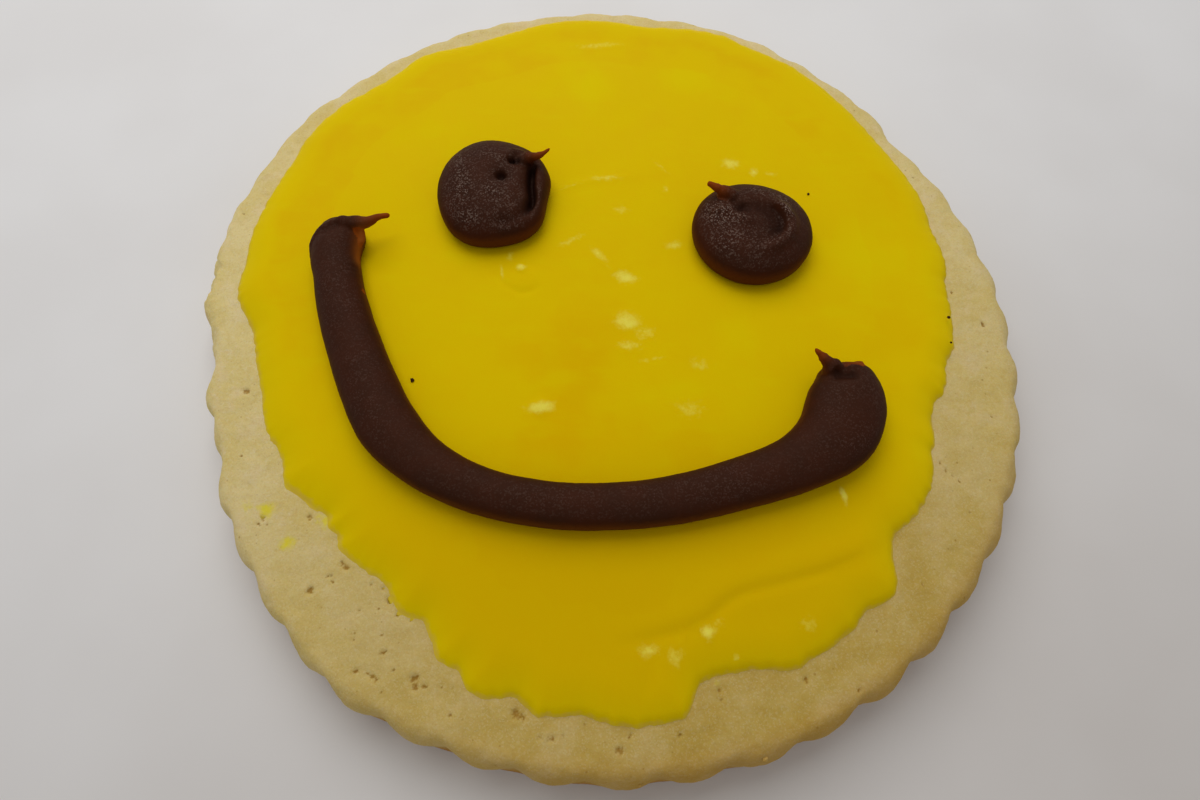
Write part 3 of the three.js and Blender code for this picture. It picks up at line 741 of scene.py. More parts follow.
def moved(tree, geometry, way, distance):
    """Moves each point a distance, which is a formula, along its own way."""
    offset = add(tree, VECTOR_MATH, {0: way, "Scale": formula(tree, distance)},
                 operation="SCALE")
    return add(tree, MOVE, {"Geometry": geometry, "Offset": offset})


def noise_at(tree, span, detail, out=0):
    """Noise at each point's place, with features of a span in metres."""
    fine = add(tree, VECTOR_MATH, {0: add(tree, POSITION),
                                   "Scale": formula(tree, ("DIVIDE", 1.0, span))},
               operation="SCALE")
    return add(tree, NOISE, {"Vector": fine, "Scale": 1.0, "Detail": detail}, out)


def unevenness(tree, given, details):
    """The formula for the sum of kinds of noise, each with a span and a height given."""
    return ("MULTIPLY", ("ADD", *(
        ("MULTIPLY", ("SUBTRACT", noise_at(tree, given[kind + " span"], detail), 0.5),
         given[kind + " height"]) for kind, detail in details.items())), 2.0)


def scattered(tree, given, mesh, zone, most):
    """Points at random on a mesh, as dense as its zone and the greatest density allow."""
    density = formula(tree, ("MULTIPLY", add(tree, NAMED, [zone]), given[most]))
    return add(tree, "GeometryNodeDistributePointsOnFaces",
               {"Mesh": mesh, "Density": density, "Seed": given["Seed"]})


def fluted_biscuit_tree():
    """Cuts the flutes in the side, then raises the crumb and sinks the pores.

    The mesh carries, for each point, its place in flutes round the rim, the share of the
    flutes' depth there, the way out, and how many pores it may have."""
    tree, given = geometry_tree("Fluted biscuit", {
        "Flute depth": 1.2 * MM, "Notch softness": 0.16,
        "Lump height": 0.16 * MM, "Lump span": 2.2 * MM,
        "Grain height": 0.05 * MM, "Grain span": 0.7 * MM,
        "Pore depth": 0.4 * MM, "Smallest pore": 0.1 * MM, "Largest pore": 0.24 * MM,
        "Pores per square metre": 160000.0, "Pits": "Object", "Seed": 5})
    cosine = formula(tree, ("COSINE", ("MULTIPLY", add(tree, NAMED, ["flutes"]), math.pi)))
    blunt = ("SQRT", ("ADD", ("POWER", cosine, 2.0), ("POWER", given["Notch softness"], 2.0)))
    notch = ("MAXIMUM", ("SUBTRACT", 1.0, blunt), 0.0)
    cut = ("MULTIPLY", ("MULTIPLY", notch, given["Flute depth"]),
           add(tree, NAMED, ["flute_share"]))
    fluted = moved(tree, given["Geometry"], add(tree, NAMED, ["outward"], **VECTORS),
                   ("MULTIPLY", cut, -1.0))

    # Pores lie at random where the mesh allows them, and the named pits join them.
    position = add(tree, POSITION)
    spots = scattered(tree, given, fluted, "pore_zone", "Pores per square metre")
    chance = add(tree, RANDOM, {2: 0.0, 3: 1.0, "Seed": 11}, 1, data_type="FLOAT")
    random_radius = formula(tree, ("ADD", given["Smallest pore"], (
        "MULTIPLY", ("POWER", chance, 3.0),
        ("SUBTRACT", given["Largest pore"], given["Smallest pore"]))))
    pores = add(tree, KEEP, {"Geometry": spots, "Name": "pore_radius", "Value": random_radius})
    pits = add(tree, "GeometryNodeObjectInfo", {0: given["Pits"]}, "Geometry")
    both = add(tree, "GeometryNodeJoinGeometry")
    for points in (add(tree, "GeometryNodeMeshToPoints", {"Mesh": pits}), pores):
        tree.links.new(points, both.node.inputs[0])
    # The place is stirred a little before it is measured, which makes the pores ragged.
    wobble = add(tree, VECTOR_MATH, (noise_at(tree, 0.4 * MM, 2.0, "Color"), (0.5, 0.5, 0.5)),
                 operation="SUBTRACT")
    stir = add(tree, VECTOR_MATH, {0: wobble, "Scale": 0.7 * MM}, operation="SCALE")
    stirred = add(tree, VECTOR_MATH, (position, stir), operation="ADD")
    nearest = add(tree, "GeometryNodeSampleNearest",
                  {"Geometry": both, "Sample Position": stirred})
    middle, radius = (
        add(tree, "GeometryNodeSampleIndex",
            {"Geometry": both, "Value": value, "Index": nearest}, data_type=kind)
        for value, kind in ((position, "FLOAT_VECTOR"),
                            (add(tree, NAMED, ["pore_radius"]), "FLOAT")))
    away = add(tree, VECTOR_MATH, (stirred, middle), "Value", operation="DISTANCE")
    pore = formula(tree, (SOFT, ("DIVIDE", away, radius), 1.25, 0.35))
    sink = ("MULTIPLY", pore, ("MINIMUM", given["Pore depth"], ("MULTIPLY", radius, 1.2)))
    marked = add(tree, KEEP, {"Geometry": fluted, "Name": "pore", "Value": pore})
    crumbed = moved(tree, marked, add(tree, NORMAL), (
        "MULTIPLY", ("SUBTRACT", unevenness(tree, given, {"Lump": 2.0, "Grain": 1.5}), sink),
        add(tree, NAMED, ["seen"])))
    return end_tree(tree, given, crumbed)


def piped_icing_tree():
    """Sweeps a rounded profile along a line, as icing leaves a nozzle.

    The line carries, for each point, the half-width as a vector across it, and vectors up to
    the crest and down to the foot. The foot is flatter than the crest."""
    tree, given = geometry_tree("Piped icing", {"Sides": 32, "Foot squareness": 2.0})
    path = add(tree, "GeometryNodeMeshToCurve", {"Mesh": given["Geometry"]})
    profile = add(tree, "GeometryNodeCurvePrimitiveCircle",
                  {"Resolution": given["Sides"], "Radius": 1.0})
    path, profile = (
        add(tree, KEEP, {"Geometry": curve, "Name": name, "Value": add(tree, POSITION)},
            **VECTORS) for curve, name in ((path, "middle"), (profile, "round")))
    swept = add(tree, "GeometryNodeCurveToMesh",
                {"Curve": path, "Profile Curve": profile, "Fill Caps": False})

    place, side, crest, foot, circle = (
        add(tree, NAMED, [name], **VECTORS)
        for name in ("middle", "side", "crest", "foot", "round"))
    across, up = (add(tree, SPLIT, [circle], axis) for axis in (0, 1))
    below = formula(tree, ("LESS_THAN", up, 0.0))
    share = formula(tree, ("ADD", ("MULTIPLY", below, (
        "SUBTRACT", ("DIVIDE", 2.0, given["Foot squareness"]), 1.0)), 1.0))
    tall = formula(tree, ("POWER", ("ABSOLUTE", up), share))
    for way, reach in (
            (side, ("MULTIPLY", ("SIGN", across), ("POWER", ("ABSOLUTE", across), share))),
            (crest, ("MULTIPLY", tall, ("SUBTRACT", 1.0, below))),
            (foot, ("MULTIPLY", tall, below))):
        step = add(tree, VECTOR_MATH, {0: way, "Scale": formula(tree, reach)},
                   operation="SCALE")
        place = add(tree, VECTOR_MATH, (place, step), operation="ADD")
    shaped = add(tree, MOVE, {"Geometry": swept, "Position": place})
    return end_tree(tree, given, add(tree, "GeometryNodeMergeByDistance",
                                     {"Geometry": shaped, "Distance": 1e-7}))


def icing_grain_tree():
    """Raises the fine sugar grain of buttercream along the surface."""
    tree, given = geometry_tree("Icing grain", {
        "Grain height": 0.03 * MM, "Grain span": 0.45 * MM,
        "Swell height": 0.1 * MM, "Swell span": 4.0 * MM})
    rise = unevenness(tree, given, {"Grain": 2.0, "Swell": 1.0})
    return end_tree(tree, given, moved(tree, given["Geometry"], add(tree, NORMAL), rise))


def crumbs_tree():
    """Scatters small angular crumbs over the points of a mesh that allow them."""
    tree, given = geometry_tree("Loose crumbs", {
        "Crumbs per square metre": 20000.0, "Smallest crumb": 0.1 * MM,
        "Largest crumb": 0.3 * MM, "Seed": 3})
    spots = scattered(tree, given, given["Geometry"], "crumb_zone", "Crumbs per square metre")
    ball = add(tree, "GeometryNodeMeshIcoSphere", {"Radius": 1.0, "Subdivisions": 1})
    offset = add(tree, NOISE, {"Vector": add(tree, POSITION), "Scale": 1.4, "Detail": 2.0},
                 "Color")
    for operation, value in (("ADD", (-0.5, -0.5, -0.5)), ("MULTIPLY", (1.3, 1.3, 0.9))):
        offset = add(tree, VECTOR_MATH, (offset, value), operation=operation)
    rough = add(tree, MOVE, {"Geometry": ball, "Offset": offset})
    size = add(tree, RANDOM, {2: given["Smallest crumb"], 3: given["Largest crumb"], "Seed": 7},
               1, data_type="FLOAT")
    spin = add(tree, RANDOM, {1: (TURN, TURN, TURN), "Seed": 9}, **VECTORS)
    return end_tree(tree, given, add(tree, "GeometryNodeInstanceOnPoints", {
        "Points": spots, "Instance": rough, "Rotation": spin, "Scale": size}))


# ---------------------------------------------------------------- materials


def linear(hex_colour):
    """The linear colour of an sRGB hex value, with full alpha."""
    channels = [((hex_colour >> shift) & 255) / 255 for shift in (16, 8, 0)]
    return (*(c / 12.92 if c <= 0.04045 else ((c + 0.055) / 1.055) ** 2.4 for c in channels), 1.0)


def new_material(name, *stored):
    """An empty material, the place on it, and the values stored on its mesh."""
    material = bpy.data.materials.new(name)
    material.use_nodes = True
    tree = material.node_tree
    tree.nodes.clear()
    return (material, tree, add(tree, "ShaderNodeTexCoord", out="Object"),
            *(add(tree, STORED, out="Fac", attribute_name=label) for label in stored))


def end_material(material, inputs):
    """Closes a material with its surface."""
    surface = add(material.node_tree, "ShaderNodeBsdfPrincipled", inputs)
    add(material.node_tree, "ShaderNodeOutputMaterial", {"Surface": surface})
    return material


def layered(tree, colour, layers):
    """Lays colours over one another, each by the share that a formula gives."""
    for share, over in layers:
        colour = add(tree, "ShaderNodeMix", {0: formula(tree, share), 6: colour, 7: over}, 2,
                     data_type="RGBA")
    return colour


def bumpy(tree, *layers):
    """The normal of a surface with bumps over one another: (height, distance, strength)."""
    normal = None
    for height, distance, strength in layers:
        normal = add(tree, "ShaderNodeBump", {"Height": height, "Distance": distance,
                                              "Strength": strength, "Normal": normal})
    return normal


def cloud(tree, place, span, detail=2.0, roughness=0.5, stretch=(1, 1, 1)):
    """Noise with features of a span in metres, at most about 0 to 1."""
    size = tuple(s / span for s in stretch)
    seen = add(tree, "ShaderNodeMapping", {"Vector": place, "Scale": size})
    return add(tree, NOISE, {"Vector": seen, "Scale": 1.0, "Detail": detail,
                             "Roughness": roughness})


def grains(tree, place, span):
    """A random value, 0 to 1, for each grain of a span."""
    return add(tree, SPLIT, [add(tree, CELLS, {"Vector": place, "Scale": 1 / span}, "Color")])


def dotted(tree, place, span, radius, share):
    """Small round dots, at random, in some of the cells of a span: 1 inside a dot, 0 outside."""
    away = add(tree, CELLS, {"Vector": place, "Scale": 1 / span}, "Distance")
    chosen = add(tree, SPLIT, [away.node.outputs["Color"]])
    edge = radius / span
    return ("MULTIPLY", (SOFT, away, 1.3 * edge, 0.7 * edge), ("LESS_THAN", chosen, share))


def baked_dough(settings):
    """Baked sugar-biscuit dough: flour, butter and sugar, rolled, cut and baked pale. It gives a
    dry matt crumb, darker in its pores and toasted along the lower edge, with painted shade in the
    pores, towards the front and on the front's rim."""
    material, tree, place, bake, browned, pore, smear = new_material(
        "Baked sugar dough", "bake", "browned", "pore", "smear")
    slow = cloud(tree, place, 6 * MM, 3.0, 0.6)
    mottle = cloud(tree, place, 1.2 * MM, 4.0, 0.65)
    blush = cloud(tree, place, 3.2 * MM, 3.0, 0.6)
    speck = cloud(tree, place, 0.32 * MM, 2.0, 0.6)  # flour grain, drawn twice its true size
    # Single grains of flour and sugar, about 0.1 mm, are drawn a little larger.
    single = grains(tree, place, 0.13 * MM)
    pinholes = dotted(tree, place, 1.5 * MM, 0.12 * MM, 0.3)
    nicks = dotted(tree, place, 0.8 * MM, 0.08 * MM, 0.3)
    ragged = (SOFT, cloud(tree, place, 0.3 * MM, 2.0), 0.3, 0.7, -0.25, 0.25)
    patchy = (SOFT, cloud(tree, place, 0.6 * MM, 3.0), 0.3, 0.7, -0.2, 0.2)
    colour = layered(tree, settings.dough_colour, [
        ((SOFT, slow, 0.38, 0.62), settings.shade_colour),
        ((SOFT, blush, 0.5, 0.68, 0.0, 0.45), settings.blush_colour),
        ((SOFT, mottle, 0.5, 0.72, 0.0, 0.2), settings.toast_colour),
        ((SOFT, speck, 0.5, 0.75, 0.0, 0.35), settings.pale_colour),
        # Toasting and painted shade: the top is drawn darker towards the front.
        (("MULTIPLY", bake, (SOFT, blush, 0.3, 0.7, 1.1, 0.8)), settings.toast_colour),
        ((SOFT, single, 0.6, 1.0, 0.0, 0.15), settings.pale_colour),
        ((SOFT, single, 0.4, 0.0, 0.0, 0.12), settings.crust_colour),
        # The browned foot, and the front's rim with its browning and painted shade.
        (browned, settings.crust_colour),
        # Pinholes, nicks, pores and pits are darker: partly the crumb's own brown, partly painted
        # shade inside them.
        (("MULTIPLY", pinholes, 0.5), settings.pore_colour),
        (("MULTIPLY", nicks, 0.35), settings.pore_colour),
        ((SOFT, ("ADD", pore, ragged), 0.2, 1.0, 0.0, 0.8), settings.pore_colour),
        ((SOFT, ("ADD", smear, patchy), 0.2, 1.0), settings.smear_colour),
    ])
    return end_material(material, {
        "Base Color": colour, "Roughness": 0.85, "Specular IOR Level": 0.1,
        "Normal": bumpy(tree, (cloud(tree, place, 0.22 * MM, 3.0, 0.65), 0.06 * MM, 0.6),
                        (cloud(tree, place, 0.9 * MM, 3.0, 0.65), 0.16 * MM, 0.6)),
        "Subsurface Weight": 0.15, "Subsurface Radius": (1.0, 0.6, 0.3),
        "Subsurface Scale": 0.6 * MM,
    })


def poured_icing(settings):
    """Yellow sugar icing: powdered sugar, milk and food colour, poured and set. It gives a smooth
    satin skin, deeper where it is thick, clearer at its thin edge, with pale flecks, and with
    painted shade towards the front and below the smile."""
    # The tone that is read here as thickness holds painted shade as well as the icing's thickness.
    material, tree, place, thickness, front, film, fleck, verge = new_material(
        "Poured sugar icing", "tone", "front", "film", "fleck", "verge")
    slow = cloud(tree, place, 8 * MM, 3.0, 0.55)
    streak = cloud(tree, place, 2.6 * MM, 3.0, 0.6, (0.35, 1.0, 1.0))
    tone = formula(tree, ("ADD", thickness, (SOFT, slow, 0.35, 0.65, -0.3, 0.3)))
    # Curdled sugar breaks up the edges of the flecks, and the dough shows through the verge.
    curdled = (SOFT, cloud(tree, place, 0.55 * MM, 3.0, 0.65), 0.3, 0.7, 0.0, 0.27)
    ragged = (SOFT, cloud(tree, place, 0.9 * MM, 3.0, 0.6), 0.3, 0.7, -0.2, 0.2)
    colour = layered(tree, settings.icing_colour, [
        # The deep colour carries the thicker icing and the painted shade in the tone.
        ((SOFT, tone, 0.0, -1.0), settings.deep_colour),
        ((SOFT, tone, 0.0, 1.0), settings.light_colour),
        ((SOFT, streak, 0.5, 0.75, 0.0, 0.35), settings.light_colour),
        # Painted shade: the icing is drawn darker towards the front.
        (front, settings.front_colour),
        (film, settings.light_colour),
        ((SOFT, ("SUBTRACT", fleck, curdled), 0.0, 0.75, 0.0, 0.95), settings.fleck_colour),
        ((SOFT, ("ADD", verge, ragged), 0.35, 1.1, 0.0, 0.9), settings.soaked_colour),
    ])
    return end_material(material, {
        "Base Color": colour, "Roughness": formula(tree, (SOFT, slow, 0.3, 0.7, 0.42, 0.55)),
        "Specular IOR Level": 0.03, "Specular Tint": (1.0, 0.85, 0.02, 1.0),
        "Normal": bumpy(tree, (cloud(tree, place, 0.5 * MM, 2.0), 0.02 * MM, 0.35)),
        "Subsurface Weight": 0.2, "Subsurface Radius": (1.0, 0.7, 0.05),
        "Subsurface Scale": 0.8 * MM,
    })


def piped_chocolate(settings):
    """Chocolate buttercream: butter, powdered sugar and cocoa, piped through a round nozzle. It
    gives a dull satin crust with a fine painted sparkle of sugar and a painted sheen on its crown,
    painted shade in its grooves, painted light on its steep flanks, and red-brown thin edges."""
    material, tree, place, inner, sugar, hollow, thin, amber = new_material(
        "Chocolate buttercream", "inner", "sugared", "hollow", "thin", "amber")
    slow = cloud(tree, place, 3.0 * MM, 2.0)
    upright = add(tree, SPLIT, [add(tree, "ShaderNodeNewGeometry", out="Normal")], 2)
    crown = formula(tree, (SOFT, upright, 0.55, 0.92))
    # The crust's sugar crystals, under 0.1 mm, are drawn larger so that they show.
    crystals = grains(tree, place, 0.125 * MM)
    patchy = (SOFT, cloud(tree, place, 3.5 * MM, 2.0), 0.35, 0.65, 0.4, 1.0)
    sugared = formula(tree, ("MULTIPLY", ("MULTIPLY", sugar, crown), patchy))
    streaks = (SOFT, cloud(tree, place, 0.5 * MM, 2.0, 0.6, (1.0, 0.2, 0.2)),
               0.3, 0.6, 0.6, 1.0)
    colour = layered(tree, settings.chocolate_colour, [
        ((SOFT, slow, 0.35, 0.65), settings.cocoa_colour),
        # The crown, which faces up, is drawn lighter and greyer: partly its dry crust, partly
        # painted sheen.
        (("MULTIPLY", crown, 0.5), settings.crown_colour),
        # Painted light: the steep low flanks are drawn lighter and redder by their slope.
        (("MULTIPLY", (SOFT, upright, 0.65, 0.15, 0.0, 0.85), ("SUBTRACT", 1.0, inner)),
         settings.flank_colour),
        # Painted glints of the sugar crystals on the crown, with painted shade between them.
        (("MULTIPLY", (SOFT, crystals, 0.45, 0.0), sugared), settings.hollow_colour),
        (("MULTIPLY", (SOFT, crystals, 0.62, 0.98), sugared), settings.sugar_colour),
        # Painted shade in the grooves and creases.
        (hollow, settings.hollow_colour),
        (thin, settings.thin_colour),
        (("MULTIPLY", amber, streaks), settings.amber_colour),
    ])
    return end_material(material, {
        "Base Color": colour, "Roughness": 0.5,
        "Specular IOR Level": 0.04, "Specular Tint": (1.0, 0.62, 0.48, 1.0),
        "Normal": bumpy(tree, (cloud(tree, place, 0.5 * MM, 2.0, 0.6), 0.04 * MM, 0.3),
                        (crystals, 0.04 * MM, sugared)),
        "Subsurface Weight": 0.08, "Subsurface Radius": (1.0, 0.35, 0.2),
        "Subsurface Scale": 0.5 * MM,
    })


def matt_board(settings):
    """White board with a matt finish: a pale, slightly warm ground, with painted shade towards the
    front right.
    """
    material, tree, place = new_material("Matt white board")
    # Painted shade: the board's tone falls off slowly towards -Y and +X.
    run = add(tree, VECTOR_MATH, (place, (0.35, -0.94, 0.0)), "Value", operation="DOT_PRODUCT")
    tone = ("ADD", (SOFT, run, -30 * MM, 110 * MM),
            (SOFT, cloud(tree, place, 30 * MM, 3.0), 0.3, 0.7, 0.0, 0.15))
    return end_material(material, {
        "Base Color": layered(tree, settings.floor_colour, [(tone, settings.floor_shade)]),
        "Roughness": 0.7, "Specular IOR Level": 0.2,
        "Normal": bumpy(tree, (cloud(tree, place, 0.8 * MM, 2.0), 0.02 * MM, 0.2)),
    })


# ---------------------------------------------------------------- settings


def number(name, description, default, **more):
    return bpy.props.FloatProperty(name=name, description=description, default=default,
                                   **{"min": 0.0, **more})


def length(name, description, millimetres):
    return number(name, description, millimetres * MM, unit="LENGTH", precision=5)


def colour(name, description, hex_colour):
    return bpy.props.FloatVectorProperty(name=name, description=description, subtype="COLOR",
                                         size=4, min=0.0, max=1.0, default=linear(hex_colour))


class BiscuitSettings(bpy.types.PropertyGroup):
    flute_depth: length("Flute depth", "Mean depth of a notch in the side", 1.2)
    lump_height: length("Lump height", "Height of the soft lumps of the dough", 0.16)
    grain_height: length("Grain height", "Height of the fine crumb", 0.05)
    pore_depth: length("Pore depth", "Greatest depth of a pore", 0.27)
    pore_density: number("Pores", "Pores in a square metre where they are thickest", 160000.0,
                         subtype="UNSIGNED")
    crumb_density: number("Crumbs", "Loose crumbs in a square metre where they are thickest",
                          60000.0, subtype="UNSIGNED")
    dough_colour: colour("Dough", "Main colour of the baked dough", 0xE7D395)
    shade_colour: colour("Shade", "Colour of the slow, slightly deeper patches", 0xE1CB83)
    blush_colour: colour("Blush", "Colour of the slightly pinker patches", 0xE8D1A4)
    pale_colour: colour("Flour", "Colour of the palest grain", 0xEADCB4)
    # Toast also carries the painted shade towards the front.
    toast_colour: colour("Toast", "Colour where the dough is baked further", 0xBE9E46)
    # Crust also carries the painted shade on the front's rim.
    crust_colour: colour("Crust", "Colour of the browned foot", 0xB07A30)
    # Pore colour is partly the crumb's own brown, partly painted shade in the pits.
    pore_colour: colour("Pore", "Colour inside pores and pits", 0x9C701E)
    smear_colour: colour("Smear", "Colour of icing smeared on the dough", 0xE2D03C)


class YellowIcingSettings(bpy.types.PropertyGroup):
    ripple_height: length("Ripple height", "Height of the slow unevenness of the top", 0.05)
    icing_colour: colour("Icing", "Main colour of the icing", 0xE7C402)
    # Deep also carries the painted shade at the front and below the smile.
    deep_colour: colour("Deep", "Colour where the icing is thickest", 0xE5B901)
    light_colour: colour("Light", "Colour where the icing is thin", 0xE7CC02)
    # Painted shade: the icing is drawn darker towards the front.
    front_colour: colour("Front", "Colour where the icing ran together at the front", 0xDDB402)
    fleck_colour: colour("Fleck", "Colour of the pale flecks of sugar", 0xF3E356)
    soaked_colour: colour("Soaked dough", "Colour of the dough under the thin verge", 0xE0BE42)


class ChocolateIcingSettings(bpy.types.PropertyGroup):
    grain_height: length("Grain height", "Height of the fine sugar grain", 0.03)
    swell_height: length("Swell height", "Height of the slow unevenness", 0.08)
    dot_voxel: length("Eye voxel", "Grid on which an eye is joined to its peak", 0.12)
    line_voxel: length("Smile voxel", "Grid on which the smile is joined to its tails", 0.15)
    chocolate_colour: colour("Chocolate", "Main colour of the icing", 0x381D11)
    cocoa_colour: colour("Cocoa", "Colour of the slow, slightly redder patches", 0x3F1E10)
    # Partly painted sheen: the crown is drawn lighter where it faces up.
    crown_colour: colour("Crown", "Colour of the dry crust on top", 0x3C241B)
    # Painted shade in the grooves and between the sugar glints.
    hollow_colour: colour("Hollow", "Colour in the grooves and between the crystals", 0x160B08)
    # Painted light on the steep low flanks.
    flank_colour: colour("Flank", "Colour of the smooth low flanks", 0x5A2E12)
    # Painted glints of the sugar crystals.
    sugar_colour: colour("Sugar", "Colour of the sugar crystals in the crust", 0x9C887B)
    thin_colour: colour("Thin", "Colour where light passes through a thin peak", 0x8A3E0C)
    amber_colour: colour("Amber", "Colour of the thin flank that glows", 0x98541C)


class StageSettings(bpy.types.PropertyGroup):
    floor_colour: colour("Floor", "Colour of the floor", 0xF0EEEC)
    # Painted shade on the floor towards the front right.
    floor_shade: colour("Floor shade", "Colour of the floor towards the front right", 0xCFC8C1)
    light_power: number("Lamp power", "Power of the soft lamp", 0.47, unit="POWER")
    lamp_size: length("Lamp size", "Side of the square soft lamp", 260)
    fill: number("Fill", "Strength of the even light from all round", 0.38, subtype="FACTOR",
                 max=2.0)
    focal_length: number("Focal length", "Lens of the camera", 21.0, unit="CAMERA", min=1.0)


SETTINGS = {
    "cookie_biscuit": BiscuitSettings,
    "cookie_icing": YellowIcingSettings,
    "cookie_chocolate": ChocolateIcingSettings,
    "cookie_stage": StageSettings,
}

# ---------------------------------------------------------------- the biscuit


def biscuit_rings():
    """Rings of the biscuit from its foot to its middle, without the flutes, as lists of
    (places, place in flutes, share of the flutes' depth, seen)."""
    b = BISCUIT
    columns = FLUTES["count"] * b["per_lobe"]
    heights, shares = np.array(b["flute_share"], dtype=float).T
    rings = []

    def ring(count, share, foot, rim, rise, seen, fluted=True):
        """`foot` and `rim` are shares of the insets there. `rise` has shares of the belt's
        height and of the edge's, or is None on the top."""
        flutes = np.arange(count) * FLUTES["count"] / count
        at = flute_bearing(flutes)
        radius = (biscuit_radius(at) - foot_inset(at) * foot - rim_inset(at) * rim) * share
        x, y = radius * np.cos(at), radius * np.sin(at)
        z = (belt_height(at) * rise[0] + b["edge_height"] * rise[1] if rise
             else biscuit_top(x, y))
        rings.append((np.column_stack([x, y, z]), flutes,
                      np.interp(z, heights, shares) * fluted, np.full(count, seen)))

    for share in b["foot_shares"]:
        ring(columns // b["foot_thinning"], share, 1, 0, (0, 0), 0, False)
    for k in range(b["side_rings"]):
        up = k / b["side_rings"]
        ring(columns, 1, (1 - up) ** b["foot_power"], 0, (up, 0), min(k / b["seen_after"], 1))
    for k in range(b["rim_rings"]):
        out, up = rounded(k / b["rim_rings"], b["rim_power"])
        ring(columns, 1, 0, 1 - out, (1 - up, up), 1)
    for k in range(b["top_rings"] + 1):
        ring(columns, 1 - (1 - b["seen_share"]) * k / b["top_rings"], 0, 1, None, 1)
    for share in b["hidden_shares"]:
        ring(columns // b["hidden_thinning"], share, 0, 1, None, 0)
    return rings


def biscuit_mesh():
    """The biscuit before its flutes are cut, with what the tree and the dough read from it."""
    b = BISCUIT
    rings = biscuit_rings()
    places, faces = skin((0, 0, 0), [ring[0] for ring in rings], (0, 0, biscuit_top(0, 0)))

    def whole(index):
        return np.concatenate([[0], *(ring[index] for ring in rings), [0]])

    flutes, share, seen = whole(1), whole(2), whole(3)
    bearing = np.arctan2(places[:, 1], places[:, 0])
    odd = np.random.default_rng(FLUTES["odd_seed"]).uniform(
        1 - FLUTES["odd"], 1 + FLUTES["odd"], FLUTES["count"] + 1)
    odd[-1] = odd[0]
    uneven = odd[np.clip(np.floor(flutes).astype(int), 0, FLUTES["count"])]
    # The cutter tore the edge a little at the left.
    out = np.hypot(places[:, 0], places[:, 1])
    torn = around(bearing, *b["torn_at"])
    rim = smoothstep(*b["torn_band"], out - biscuit_radius(bearing)) * torn
    rough = np.zeros(len(places))
    rough[rim > 0.02] = value_noise(places[rim > 0.02] * (1, 1, 0.4), 2.0, 6)
    out -= rim * b["torn_depth"] * smoothstep(-0.1, 0.5, rough)
    places[:, 0], places[:, 1] = out * np.cos(bearing), out * np.sin(bearing)
    x, y, z = places.T
    edge = icing_radius(bearing)

    mesh = mesh_of("fluted_biscuit", places, faces)
    store(mesh, "flutes", flutes)
    store(mesh, "flute_share", share * uneven * round_table(FLUTES["depth"], bearing))
    store(mesh, "outward", np.column_stack([np.cos(bearing), np.sin(bearing), 0 * x]))
    store(mesh, "seen", seen)
    # Pores crowd at the front left, beside the icing, and thin out down the side.
    front_left = around(bearing, *b["porous_at"])
    beside = np.exp(-np.clip(out - edge, 0, None) / b["beside"])
    everywhere, there, more = b["pores"]
    zone = seen * (everywhere + there * front_left + more * beside * front_left)
    store(mesh, "pore_zone", zone * np.where(z > 4.5, 1, 0.5))
    # Crumbs cling to the side, most where the cutter tore the dough at the left.
    side = smoothstep(-1.5, -0.2, out - biscuit_radius(bearing)) * smoothstep(1.5, 4, z)
    store(mesh, "crumb_zone", seen * side * (0.12 + 0.88 * torn))
    # The front is baked further than the back, with painted shade; the front's rim is browned, with
    # painted shade too, and the foot is browned.
    store(mesh, "bake", np.clip(round_table(FRONT_BAKE_AND_SHADE, bearing), 0, 1))
    at_rim = smoothstep(*b["rim_band"], out - biscuit_radius(bearing))
    store(mesh, "browned", np.maximum(b["foot_bake"] * smoothstep(*b["foot_band"], z),
                                      round_table(RIM_BAKE_AND_SHADE, bearing) * at_rim))
    store(mesh, "smear", spot_relief(x, y, SMEARS, 2))
    return mesh


class COOKIE_OT_biscuit(bpy.types.Operator):
    """Bakes the fluted biscuit, with its crumb, pores and toasted lower edge"""
    bl_idname = "cookie.biscuit"
    bl_label = "Biscuit"

    def execute(self, context):
        chosen = context.scene.cookie_biscuit
        dough = baked_dough(chosen)
        pits = mesh_of("pits", [(x, y, float(biscuit_top(x, y))) for x, y, _ in PITS], [])
        store(pits, "pore_radius", [radius * MM for _, _, radius in PITS])
        marks = in_scene("pits", pits)
        mesh = settled(biscuit_mesh(), [(fluted_biscuit_tree(), {
            "Flute depth": chosen.flute_depth, "Lump height": chosen.lump_height,
            "Grain height": chosen.grain_height, "Pore depth": chosen.pore_depth,
            "Pores per square metre": chosen.pore_density, "Pits": marks, "Material": dough,
        })])
        bpy.data.objects.remove(marks)
        bpy.data.meshes.remove(pits)
        finished("fluted_biscuit", mesh, dough, "biscuit")
        return {"FINISHED"}


class COOKIE_OT_crumbs(bpy.types.Operator):
    """Scatters the loose crumbs that cling to the biscuit's rim"""
    bl_idname = "cookie.crumbs"
    bl_label = "Rim crumbs"

    def execute(self, context):
        biscuit = bpy.data.objects.get("fluted_biscuit")
        if biscuit is None:
            raise RuntimeError("the biscuit has to be there before its crumbs")
        dough = biscuit.data.materials[0]
        mesh = settled(biscuit.data.copy(), [(crumbs_tree(), {
            "Crumbs per square metre": context.scene.cookie_biscuit.crumb_density,
            "Material": dough})])
        finished("rim_crumbs", mesh, dough, smooth=False)
        return {"FINISHED"}


# ---------------------------------------------------------------- the yellow icing


